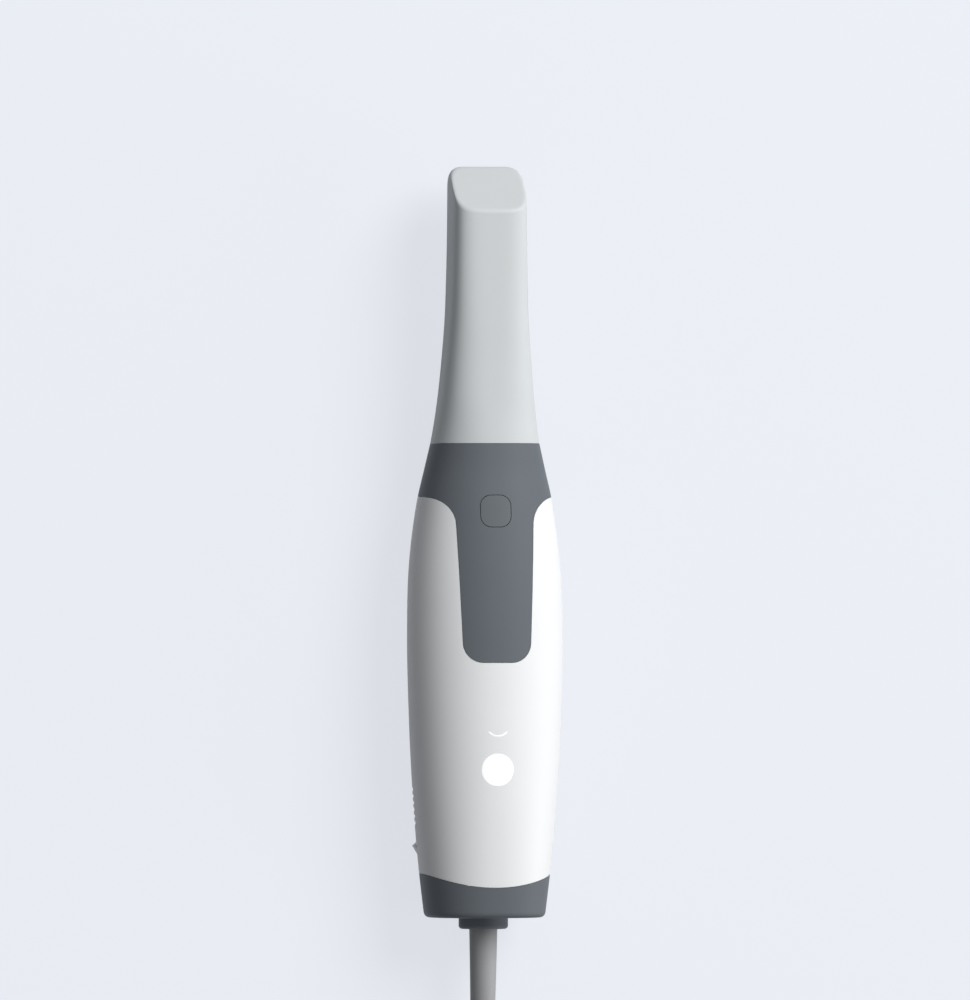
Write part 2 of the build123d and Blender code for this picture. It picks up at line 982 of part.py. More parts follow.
def make_fan_rotor():
    """Cup hub with its shaft and seven pitched blades."""
    rear, front = fan_middle() - fan_depth / 2, fan_middle() + fan_depth / 2
    start = rear + spoke_depth + fan_tip_gap
    end = front - fan_tip_gap
    hub = rod_along(hub_radius, start, end, 0, fan_axis)
    hub -= rod_along(hub_radius - hub_wall, start, end - hub_wall, 0, fan_axis)
    hub += rod_along(shaft_radius, rear + spoke_depth, end, 0, fan_axis)
    middle = (start + end) / 2
    outer = fan_bore_radius - fan_tip_gap
    reach = outer - hub_radius + hub_wall
    ring = rod_along(outer, start, end, 0, fan_axis) - rod_along(
        hub_radius - hub_wall / 2, start, end, 0, fan_axis
    )
    blades = Part()
    for number in range(blade_count):
        turn = Pos(0, middle, fan_axis) * Rot(0, 360 * number / blade_count, 0)
        blade = Pos(0, 0, outer - reach / 2) * Rot(0, 0, blade_angle)
        blades += turn * blade * Box(2 * fan_depth, blade_thickness, reach)
    return hub + (blades & ring)


def make_main_board():
    """Main board with its screw holes."""
    start = rear_face + board_start
    outline = Pos(0, start + board_length / 2) * RectangleRounded(
        board_width, board_length, board_post_inset
    )
    board = slab_over(outline, board_bottom, board_top)
    for x, y in board_screw_places():
        board -= rod_up(screw_radius + fit_gap, board_bottom, board_top, x, y)
    return board


def make_board_chips():
    """Processor and two memory chips on the main board."""
    front = rear_face + board_start + board_length
    middle = front - processor_size
    chips = block(
        processor_size,
        processor_size,
        processor_height,
        0,
        middle - processor_size / 2,
        board_top + processor_height / 2,
    )
    for side in (-1, 1):
        chips += block(
            memory_width,
            memory_length,
            memory_height,
            side * (memory_width / 2 + skin_wall),
            middle - processor_size - memory_length,
            board_top + memory_height / 2,
        )
    return chips


def screw_up(x, y, low, high, head_base):
    """Screw pointing down, its head on a board."""
    return rod_up(screw_radius, low, high, x, y) + rod_up(
        screw_head_radius, head_base, head_base + screw_head_height, x, y
    )


def make_board_screws():
    """Four screws that hold the main board."""
    screws = Part()
    for x, y in board_screw_places():
        screws += screw_up(x, y, board_bottom - screw_head_radius + fit_gap, board_top, board_top)
    return screws


def make_cap_screws():
    """Two screws through the cap's end into the lower shell's bosses."""
    screws = Part()
    for x in (-cap_screw_side, cap_screw_side):
        seat = rear_face + cap_screw_recess
        head = rod_along(screw_head_radius, seat - screw_head_height, seat, x, screw_axis)
        shank = rod_along(screw_radius, seat, seat + cap_screw_length, x, screw_axis)
        slot = block(
            skin_wall / 2,
            screw_head_height / 2,
            2 * screw_head_radius,
            x,
            seat - screw_head_height * 3 / 4,
            screw_axis,
        )
        screws += head + shank - slot
    return screws


def make_cable_gland():
    """Round gland with a threaded neck through the cap."""
    face = rear_face - gland_thickness
    flange = rod_along(gland_radius, face, rear_face, 0, cable_axis)
    rim = flange.edges().filter_by(GeomType.CIRCLE).sort_by(Axis.Y)[0]
    flange = fillet(rim, gland_edge_radius)
    neck_end = rear_face + gland_neck_length
    gland = flange + rod_along(gland_neck_radius - fit_gap, rear_face, neck_end, 0, cable_axis)
    gland -= rod_along(cable_radius + fit_gap, face, neck_end, 0, cable_axis)
    return gland - rod_along(boot_root_radius + fit_gap, face, face + boot_seat, 0, cable_axis)


def make_gland_nut():
    """Six-sided nut on the gland's neck inside the cap."""
    start = rear_face + cap_floor
    outline = Plane(origin=(0, start, cable_axis), x_dir=(1, 0, 0), z_dir=(0, 1, 0))
    nut = extrude(outline * RegularPolygon(nut_flat_radius, 6), amount=nut_thickness)
    return nut - rod_along(gland_neck_radius, start, start + nut_thickness, 0, cable_axis)


def make_strain_relief():
    """Tapered rubber sleeve on the cable, seated in the gland."""
    face = rear_face - gland_thickness
    end = face - boot_length
    sleeve = cone_along(boot_end_radius, boot_root_radius, end, face, 0, cable_axis)
    sleeve += rod_along(boot_root_radius, face, face + boot_seat, 0, cable_axis)
    return sleeve - rod_along(cable_radius + fit_gap, end, face + boot_seat, 0, cable_axis)


def cable_socket_place():
    """Middle of the connector at the rear of the main board."""
    return rear_face + board_start + socket_length / 2 + 2 * board_post_inset


def make_cable_socket():
    """Connector on the main board that takes the cable's wires."""
    return block(
        socket_width,
        socket_length,
        socket_height,
        0,
        cable_socket_place(),
        board_top + socket_height / 2,
    )


def make_cable_wires():
    """Wires from the cable's end down to the connector."""
    wires = Part()
    start = rear_face + cable_inside
    face = cable_socket_place() - socket_length / 2
    low = board_top + socket_height / 2
    for number in range(wire_count):
        x = (number - (wire_count - 1) / 2) * wire_pitch
        path = FilletPolyline(
            (x, start, cable_axis),
            (x, start + 2 * wire_pitch, cable_axis),
            (x, face - 2 * wire_pitch, low),
            (x, face, low),
            radius=wire_pitch,
        )
        disc = Plane(origin=path @ 0, z_dir=path % 0) * Circle(wire_radius)
        wires += sweep(disc, path=path)
    return wires


def lead_points():
    """Route of the cable from inside the cap to the hank, points chosen by hand."""
    return [
        (0, rear_face + cable_inside, cable_axis),
        (0, -148.5, cable_axis),
        (1.0, -167.3, 7.6),
        (9.4, -182.3, lift),
        (18.4, -191.3, lift),
    ]


def tail_points():
    """Route of the cable from the hank's top turn to the plug, points chosen by hand."""
    rest = grip_height / 2
    return [
        (26.0, -234.0, hank_top - cable_radius),
        (26.0, -268.0, hank_top - cable_radius),
        (21.5, -296.5, rest),
        (16.5, -319.0, rest),
    ]


def corner_radii(points):
    """The largest arc that each corner's two runs allow."""
    corners = [Vector(point) for point in points]
    radii = []
    for before, here, after in zip(corners, corners[1:], corners[2:]):
        runs = (here - before, after - here)
        half_turn = math.radians(runs[0].get_angle(runs[1])) / 2
        radii.append(0.45 * min(runs[0].length, runs[1].length) / math.tan(half_turn))
    return radii


def cable_tube(name, points):
    """Round tube along the route, with its radii and volume printed."""
    radii = corner_radii(points)
    path = FilletPolyline(*points, radius=radii)
    disc = Plane(origin=path @ 0, z_dir=path % 0) * Circle(cable_radius)
    tube = sweep(disc, path=path)
    print(name, "radii", [round(radius, 1) for radius in radii], "length", round(path.length, 1))
    print(name, "volume", round(tube.volume), "expected", round(math.pi * cable_radius**2 * path.length))
    return tube


def hank_ring(inner, outer, low, high):
    """Long rounded ring between two turn radii and two heights."""
    run = hank_length - 2 * hank_outer
    ring = SlotCenterToCenter(run, 2 * outer) - SlotCenterToCenter(run, 2 * inner)
    return slab_over(Pos(0, hank_middle) * Rot(0, 0, 90) * ring, low, high)


def make_cable_coil():
    """Outer form of the folded length: two turns wide, with the inner turn once more on top."""
    base = hank_ring(hank_inner, hank_outer, tie_thickness, hank_flat)
    by_height = base.faces().sort_by(Axis.Z)
    base = fillet(by_height[0].edges() + by_height[-1].edges(), hank_edge_radius)
    sunk = hank_flat - hank_edge_radius
    top = hank_ring(hank_inner, hank_inner + cable_diameter, sunk, hank_top)
    return base + fillet(top.faces().sort_by(Axis.Z)[-1].edges(), hank_edge_radius)


def print_hank_length():
    """Length of the turns: two in each full layer, one on top and the run that leaves."""
    run = hank_length - 2 * hank_outer
    layer = 2 * (2 * run + 2 * math.pi * (hank_turn_radius + cable_radius))
    top = 3 * run + 2 * math.pi * hank_turn_radius
    print("hank length", round(hank_layers * layer + top))


def tie_section(grow):
    """Outline of the hank's left run, drawn out by the strap."""
    left, right = -hank_outer, -hank_inner
    shoulder = hank_flat - hank_edge_radius / 2
    points = [
        (left, tie_thickness),
        (right, tie_thickness),
        (right, hank_top),
        (right - cable_diameter, hank_top),
        (left, shoulder),
    ]
    face = make_face(FilletPolyline(*points, radius=hank_edge_radius / 2, close=True))
    return offset(face, amount=grow) if grow else face


def make_cable_tie():
    """Strap round the hank's left run."""
    across = Plane(origin=(0, hank_middle, 0), x_dir=(1, 0, 0), z_dir=(0, -1, 0))
    strap = extrude(across * tie_section(tie_thickness), amount=tie_width / 2, both=True)
    hollow = extrude(across * tie_section(0), amount=tie_width / 2, both=True)
    return strap - hollow


def plug_frame():
    """Where the plug lies: its cable end and its heading."""
    rear, front = (Vector(point) for point in tail_points()[-2:])
    return Plane(origin=front, x_dir=Vector(0, 0, 1).cross(front - rear), z_dir=front - rear)


def make_plug_grip():
    """Moulded grip of the plug with its short tapered neck."""
    grip = RectangleRounded(grip_width, grip_height, grip_radius)
    frame = plug_frame()
    body = extrude(frame.offset(plug_neck_length) * grip, amount=grip_length)
    neck = frame.offset(plug_neck_length / 2) * Cone(
        plug_neck_end_radius, plug_neck_radius, plug_neck_length
    )
    return body + neck


def make_plug_shell():
    """Folded metal shell of the plug."""
    start = plug_frame().offset(plug_neck_length + grip_length)
    shell = extrude(start * Rectangle(plug_width, plug_height), amount=plug_length)
    inner = Rectangle(plug_width - 2 * plug_wall, plug_height - 2 * plug_wall)
    shell -= extrude(start.offset(plug_wall) * inner, amount=plug_length)
    return shell


def make_plug_tongue():
    """Contact tongue inside the plug's shell."""
    start = plug_frame().offset(plug_neck_length + grip_length + plug_wall)
    width = plug_width - 2 * plug_wall - 2 * fit_gap
    rise = (plug_height - 2 * plug_wall - tongue_thickness) / 2
    seat = start * Pos(0, rise, 0) * Rectangle(width, tongue_thickness)
    return extrude(seat, amount=plug_length - plug_wall - tongue_inset)


def write(name, shape):
    """One file for one sub-part."""
    export_step(shape, f"parts/{name}.step")


def main():
    """Makes and writes every sub-part."""
    os.makedirs("parts", exist_ok=True)
    forms = HandleForms()
    parts = {
        "top_shell": make_top_shell(forms),
        "bottom_shell": make_bottom_shell(forms),
        "front_collar": make_front_collar(forms),
        "rear_cap": make_rear_cap(forms),
        "tip_shell": make_tip_shell(),
        "tip_mirror": make_tip_mirror(),
        "nose_tube": make_nose_tube(forms),
        "nose_window": glass_form(fit_gap),
        "nose_seal": make_nose_seal(),
        "nose_springs": make_nose_springs(),
        "scan_button": make_scan_button(forms),
        "switch_plunger": make_switch_plunger(),
        "button_switch": make_button_switch(),
        "button_board": make_button_board(),
        "button_flex": make_button_flex(),
        "disc_light_guide": make_disc_guide(forms),
        "bar_light_guide": make_bar_guide(forms),
        "indicator_board": make_indicator_board(),
        "indicator_leds": make_indicator_leds(),
        "optical_bench": make_optical_bench(),
        "projector_barrel": make_barrel(0),
        "camera_barrel_left": make_barrel(1),
        "camera_barrel_right": make_barrel(2),
        "front_lenses": make_lenses(),
        "projector_body": make_projector_body(),
        "camera_board": make_camera_board(),
        "heat_sink": make_heat_sink(),
        "fan_housing": make_fan_housing(),
        "fan_rotor": make_fan_rotor(),
        "main_board": make_main_board(),
        "board_chips": make_board_chips(),
        "board_screws": make_board_screws(),
        "cable_socket": make_cable_socket(),
        "cable_wires": make_cable_wires(),
        "cap_screws": make_cap_screws(),
        "cable_gland": make_cable_gland(),
        "gland_nut": make_gland_nut(),
        "strain_relief": make_strain_relief(),
        "cable_lead": cable_tube("lead", lead_points()),
        "cable_coil": make_cable_coil(),
        "cable_tie": make_cable_tie(),
        "cable_tail": cable_tube("tail", tail_points()),
        "plug_grip": make_plug_grip(),
        "plug_shell": make_plug_shell(),
        "plug_tongue": make_plug_tongue(),
    }
    for name, shape in parts.items():
        write(name, shape)
    print_hank_length()


main()
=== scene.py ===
import json
import logging
import math
from collections.abc import Callable
from dataclasses import dataclass
from enum import Enum

import bpy
import numpy as np
from mathutils import Matrix, Vector


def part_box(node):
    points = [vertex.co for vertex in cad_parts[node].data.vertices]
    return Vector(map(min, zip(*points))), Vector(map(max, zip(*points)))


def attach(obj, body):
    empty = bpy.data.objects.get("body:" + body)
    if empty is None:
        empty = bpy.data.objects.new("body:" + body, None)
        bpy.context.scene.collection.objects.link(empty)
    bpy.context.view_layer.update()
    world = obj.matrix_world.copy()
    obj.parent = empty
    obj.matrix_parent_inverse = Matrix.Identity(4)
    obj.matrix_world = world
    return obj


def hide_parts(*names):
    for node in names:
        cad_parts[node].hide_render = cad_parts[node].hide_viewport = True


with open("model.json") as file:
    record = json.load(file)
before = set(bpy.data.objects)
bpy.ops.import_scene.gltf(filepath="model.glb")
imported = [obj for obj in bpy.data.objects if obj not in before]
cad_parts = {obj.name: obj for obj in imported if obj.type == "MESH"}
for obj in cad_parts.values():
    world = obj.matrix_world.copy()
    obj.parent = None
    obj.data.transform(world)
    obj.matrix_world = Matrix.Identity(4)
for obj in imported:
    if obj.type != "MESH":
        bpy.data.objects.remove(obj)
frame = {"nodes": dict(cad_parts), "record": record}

Tree = bpy.types.NodeTree
Socket = bpy.types.NodeSocket
Sockets = bpy.types.bpy_prop_collection
Solid = bpy.types.Object
Outline = list[tuple[float, float]]
Field = Callable[[np.ndarray], np.ndarray]

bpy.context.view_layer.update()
MM = 0.001
HANDLE = "handle"
TIP = "tip"
BUTTON = "button"

LOG = logging.getLogger("scanner")


class Slot(str, Enum):
    """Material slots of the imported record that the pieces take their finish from."""

    WHITE = "white_shell"
    GREY = "grey_shell"
    TIP = "tip_plastic"
    MIRROR = "mirror"
    BLACK = "black_plastic"
    LENS = "lens_glass"
    SEAL = "seal_rubber"
    STEEL = "steel"
    BUTTON = "button_grey"
    BOARD = "circuit_board"
    FLEX = "flat_cable"
    GUIDE = "light_guide"
    DIODE = "diode"
    CASTING = "cast_aluminium"
    ANODISED = "black_metal"
    CHIP = "chip_black"
    SOCKET = "socket_plastic"
    WIRE = "wire_sleeve"
    GLAND = "dark_gland"
    CABLE = "cable_grey"
    STRAP = "tie_fabric"


class Pattern(Enum):
    """Which shared effect group drives the colour, roughness and normal of a finish."""

    MOULDED = "moulded_surface"
    BRUSHED = "brushed_metal"
    WOVEN = "woven_strap"
    TRACKED = "board_tracks"


# Finishes

@dataclass(frozen=True)
class Finish:
    """One surface finish: the numbers that its Principled shader and its effect group take."""

    slot: Slot
    colour: tuple[float, float, float]
    roughness: float
    pattern: Pattern = Pattern.MOULDED
    metallic: float = 0.0
    specular: float = 0.5
    coat: float = 0.0
    transmission: float = 0.0
    emission: float = 0.0
    tone_swing: float = 0.03
    tone_scale: float = 60.0
    grain_scale: float = 1400.0
    grain_height: float = 0.06


FINISHES: tuple[Finish, ...] = (
    Finish(Slot.WHITE, (0.88, 0.887, 0.893), 0.42, specular=0.3, tone_swing=0.012, grain_height=0.03),
    Finish(Slot.GREY, (0.124, 0.138, 0.155), 0.55, specular=0.25, tone_swing=0.04, grain_height=0.10),
    Finish(Slot.TIP, (0.635, 0.660, 0.668), 0.46, specular=0.3, tone_swing=0.015, grain_height=0.04),
    Finish(Slot.MIRROR, (0.92, 0.93, 0.94), 0.03, metallic=1.0, grain_height=0.0),
    Finish(Slot.BLACK, (0.025, 0.026, 0.028), 0.55, grain_height=0.12),
    Finish(Slot.LENS, (0.86, 0.91, 0.93), 0.04, transmission=0.9, coat=0.4, grain_height=0.0),
    Finish(Slot.SEAL, (0.035, 0.035, 0.036), 0.75, grain_height=0.15),
    Finish(Slot.STEEL, (0.54, 0.54, 0.53), 0.33, Pattern.BRUSHED, metallic=1.0),
    Finish(Slot.BUTTON, (0.126, 0.140, 0.156), 0.52, specular=0.25, tone_swing=0.03, grain_height=0.08),
    Finish(Slot.BOARD, (0.02, 0.13, 0.065), 0.35, Pattern.TRACKED, coat=0.3),
    Finish(Slot.FLEX, (0.46, 0.21, 0.05), 0.32, Pattern.TRACKED, coat=0.2),
    Finish(Slot.GUIDE, (0.96, 0.965, 0.97), 0.3, emission=0.26, tone_swing=0.01, grain_height=0.0),
    Finish(Slot.DIODE, (0.86, 0.82, 0.55), 0.3, coat=0.4, grain_height=0.02),
    Finish(Slot.CASTING, (0.56, 0.57, 0.58), 0.42, Pattern.BRUSHED, metallic=1.0),
    Finish(Slot.ANODISED, (0.03, 0.03, 0.032), 0.4, Pattern.BRUSHED, metallic=0.6),
    Finish(Slot.CHIP, (0.022, 0.022, 0.024), 0.5, grain_height=0.12),
    Finish(Slot.SOCKET, (0.76, 0.73, 0.64), 0.45),
    Finish(Slot.WIRE, (0.50, 0.09, 0.07), 0.45),
    # Painted light: this dark grey is painted about 1.8 times lighter so the gland reads lit where the cap's
    # shadow falls on it; the plug grip shares this finish
    Finish(Slot.GLAND, (0.180, 0.196, 0.220), 0.55, specular=0.2, grain_height=0.10),
    Finish(Slot.CABLE, (0.360, 0.364, 0.368), 0.50, specular=0.3, tone_swing=0.05, grain_height=0.10),
    Finish(Slot.STRAP, (0.03, 0.031, 0.034), 0.85, Pattern.WOVEN),
)


# Node and object helpers

def feed(tree: Tree, node: bpy.types.Node, inputs: dict) -> None:
    """Links or sets inputs of a node.

    Args:
        tree: The node tree.
        node: The node.
        inputs: A socket or a plain value for each input, by its name or number.
    """
    for name, source in inputs.items():
        if isinstance(source, Socket):
            tree.links.new(source, node.inputs[name])
        else:
            node.inputs[name].default_value = source


def add(tree: Tree, kind: str, inputs: dict | None = None, **settings: object) -> bpy.types.Node:
    """Adds a node to a tree.

    Args:
        tree: The node tree.
        kind: The node's type.
        inputs: A socket or a plain value for each input, by its name or number.
        **settings: The node's own settings.

    Returns:
        The new node.
    """
    node = tree.nodes.new(kind)
    for name, value in settings.items():
        setattr(node, name, value)
    feed(tree, node, inputs or {})
    return node


def maths(tree: Tree, operation: str, first: Socket | float, second: Socket | float) -> Socket:
    """The value of a math node that is fed by sockets or numbers."""
    return add(tree, "ShaderNodeMath", {0: first, 1: second}, operation=operation).outputs[0]


def linked(name: str, data: bpy.types.ID) -> Solid:
    """A new object of the scene that holds some data.

    Args:
        name: The object's name.
        data: What it holds.

    Returns:
        The new object.
    """
    thing = bpy.data.objects.new(name, data)
    bpy.context.scene.collection.objects.link(thing)
    return thing


def evaluated_mesh(thing: Solid) -> bpy.types.Mesh:
    """A new mesh of an object as its modifiers leave it."""
    return bpy.data.meshes.new_from_object(thing.evaluated_get(bpy.context.evaluated_depsgraph_get()))


class EffectLibrary:
    """Builds the shader node groups that the finishes share."""

    SOCKETS = (("Vector", "Vector", None), ("Colour", "Color", None), ("Roughness", "Float", 0.5),
               ("Tone Swing", "Float", 0.03), ("Tone Scale", "Float", 60.0),
               ("Grain Scale", "Float", 1400.0), ("Grain Height", "Float", 0.05))
    RESULTS = (("Colour", "Color"), ("Roughness", "Float"), ("Normal", "Vector"))
    GRAIN_DEPTH = 0.00005
    BRUSH_STRETCH = (1.0, 0.05, 1.0)
    THREAD_DISTORTION = 0.6
    TRACK_SCALE = 420.0
    TRACK_EDGE = 0.42
    TRACK_CONTRAST = 8.0

    def __init__(self) -> None:
        """Builds every group once."""
        makers = {Pattern.MOULDED: self._moulded, Pattern.BRUSHED: self._brushed,
                  Pattern.WOVEN: self._woven, Pattern.TRACKED: self._tracked}
        self.groups = {pattern: self._group(pattern, maker) for pattern, maker in makers.items()}

    def _group(self, pattern: Pattern, maker: Callable) -> Tree:
        """Builds a group: tone shifts the colour and roughness, height gives the normal.

        Args:
            pattern: The effect that the group is for.
            maker: Adds the effect's own nodes, and gives its tone and its height.

        Returns:
            The finished group.
        """
        tree = bpy.data.node_groups.new(pattern.value, "ShaderNodeTree")
        for name, kind, value in self.SOCKETS:
            socket = tree.interface.new_socket(name, in_out="INPUT", socket_type=f"NodeSocket{kind}")
            if value is not None:
                socket.default_value = value
        for name, kind in self.RESULTS:
            tree.interface.new_socket(name, in_out="OUTPUT", socket_type=f"NodeSocket{kind}")
        inputs = add(tree, "NodeGroupInput").outputs
        tone, height = maker(tree, inputs)
        swing = maths(tree, "MULTIPLY", maths(tree, "SUBTRACT", tone, 0.5), inputs["Tone Swing"])
        gain = maths(tree, "ADD", maths(tree, "MULTIPLY", swing, 2.0), 1.0)
        scaled = add(tree, "ShaderNodeVectorMath", {0: inputs["Colour"], "Scale": gain}, operation="SCALE")
        bump = add(tree, "ShaderNodeBump", {"Strength": inputs["Grain Height"], "Height": height,
                                            "Distance": self.GRAIN_DEPTH})
        rough = maths(tree, "ADD", inputs["Roughness"], swing)
        add(tree, "NodeGroupOutput", {"Colour": scaled.outputs[0], "Roughness": rough,
                                      "Normal": bump.outputs["Normal"]})
        return tree

    @staticmethod
    def _noise(tree: Tree, inputs: Sockets, scale: str, detail: float) -> Socket:
        """A noise texture's value at the scale of a named input."""
        feeds = {"Vector": inputs["Vector"], "Scale": inputs[scale], "Detail": detail}
        return add(tree, "ShaderNodeTexNoise", feeds).outputs["Fac"]

    def _moulded(self, tree: Tree, inputs: Sockets) -> tuple[Socket, Socket]:
        """Fine even grain over a slow tone drift, as on a moulding."""
        return self._noise(tree, inputs, "Tone Scale", 2.0), self._noise(tree, inputs, "Grain Scale", 1.0)

    def _brushed(self, tree: Tree, inputs: Sockets) -> tuple[Socket, Socket]:
        """Grain drawn out along Y, as on turned or brushed metal.

        Args:
            tree: The group.
            inputs: Its inputs.

        Returns:
            Its tone and its height.
        """
        drawn_out = add(tree, "ShaderNodeMapping", {"Vector": inputs["Vector"], "Scale": self.BRUSH_STRETCH})
        feeds = {"Vector": drawn_out.outputs[0], "Scale": inputs["Grain Scale"], "Detail": 3.0}
        streaks = add(tree, "ShaderNodeTexNoise", feeds).outputs["Fac"]
        return streaks, streaks

    def _woven(self, tree: Tree, inputs: Sockets) -> tuple[Socket, Socket]:
        """Two crossed thread waves, as on a narrow woven strap.

        Args:
            tree: The group.
            inputs: Its inputs.

        Returns:
            Its tone and its height.
        """
        feeds = {"Vector": inputs["Vector"], "Scale": inputs["Grain Scale"],
                 "Distortion": self.THREAD_DISTORTION}
        waves = [add(tree, "ShaderNodeTexWave", feeds, bands_direction=direction).outputs["Fac"]
                 for direction in ("X", "Y")]
        crossed = maths(tree, "MULTIPLY", *waves)
        return crossed, crossed

    def _tracked(self, tree: Tree, inputs: Sockets) -> tuple[Socket, Socket]:
        """Cell edges as conductor tracks under a lacquer.

        Args:
            tree: The group.
            inputs: Its inputs.

        Returns:
            Its tone and its height.
        """
        feeds = {"Vector": inputs["Vector"], "Scale": self.TRACK_SCALE}
        cells = add(tree, "ShaderNodeTexVoronoi", feeds, distance="MANHATTAN")
        tracks = maths(tree, "GREATER_THAN", cells.outputs["Distance"], self.TRACK_EDGE)
        return maths(tree, "MULTIPLY", tracks, self.TRACK_CONTRAST), tracks


class MaterialShelf:
    """Makes the materials of all finishes by slot, and dresses nodes and pieces in them."""

    def __init__(self, effects: EffectLibrary) -> None:
        """Builds one material per finish from the shared effect groups."""
        self.materials = {finish.slot: self._build(finish, effects) for finish in FINISHES}

    @staticmethod
    def _build(finish: Finish, effects: EffectLibrary) -> bpy.types.Material:
        """Builds the material of one finish.

        Args:
            finish: The finish's numbers.
            effects: The shared effect groups.

        Returns:
            The new material.
        """
        material = bpy.data.materials.new(f"finish_{finish.slot.value}")
        material.use_nodes = True
        tree = material.node_tree
        colour = (*finish.colour, 1.0)
        place = add(tree, "ShaderNodeTexCoord").outputs["Object"]
        effect = add(tree, "ShaderNodeGroup", {
            "Vector": place, "Colour": colour, "Roughness": finish.roughness,
            "Tone Swing": finish.tone_swing, "Tone Scale": finish.tone_scale,
            "Grain Scale": finish.grain_scale, "Grain Height": finish.grain_height,
        }, node_tree=effects.groups[finish.pattern]).outputs
        shader = next(node for node in tree.nodes if node.type == "BSDF_PRINCIPLED")
        feed(tree, shader, {
            "Metallic": finish.metallic, "Specular IOR Level": finish.specular,
            "Coat Weight": finish.coat, "Transmission Weight": finish.transmission,
            "Emission Strength": finish.emission, "Emission Color": colour,
            "Base Color": effect["Colour"], "Roughness": effect["Roughness"], "Normal": effect["Normal"],
        })
        return material

    def dress_nodes(self) -> None:
        """Gives every CAD node the material of its slot."""
        rows = {row["node"]: row["material_slot"] for row in frame["record"]["subparts"]}
        for name, node in frame["nodes"].items():
            node.data.materials.clear()
            node.data.materials.append(self.materials[Slot(rows[name])])

    def dress(self, piece: Solid, slot: Slot, body: str, *nodes: str, crease: float = 28.0) -> Solid:
        """Ends a piece: shading, material, body and the CAD nodes that it stands for.

        Args:
            piece: The piece.
            slot: The record's slot of its material.
            body: The body that it rides on.
            nodes: The CAD nodes that it replaces.
            crease: The angle above which an edge stays sharp, in degrees.

        Returns:
            The piece.
        """
        mesh = piece.data
        mesh.name = piece.name
        mesh.polygons.foreach_set("use_smooth", [True] * len(mesh.polygons))
        mesh.set_sharp_from_angle(angle=math.radians(crease))
        mesh.materials.clear()
        mesh.materials.append(self.materials[slot])
        mesh.polygons.foreach_set("material_index", [0] * len(mesh.polygons))
        mesh.update()
        if nodes:
            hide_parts(*nodes)
        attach(piece, body)
        LOG.info("%s with %d faces", piece.name, len(mesh.polygons))
        return piece


# Studio

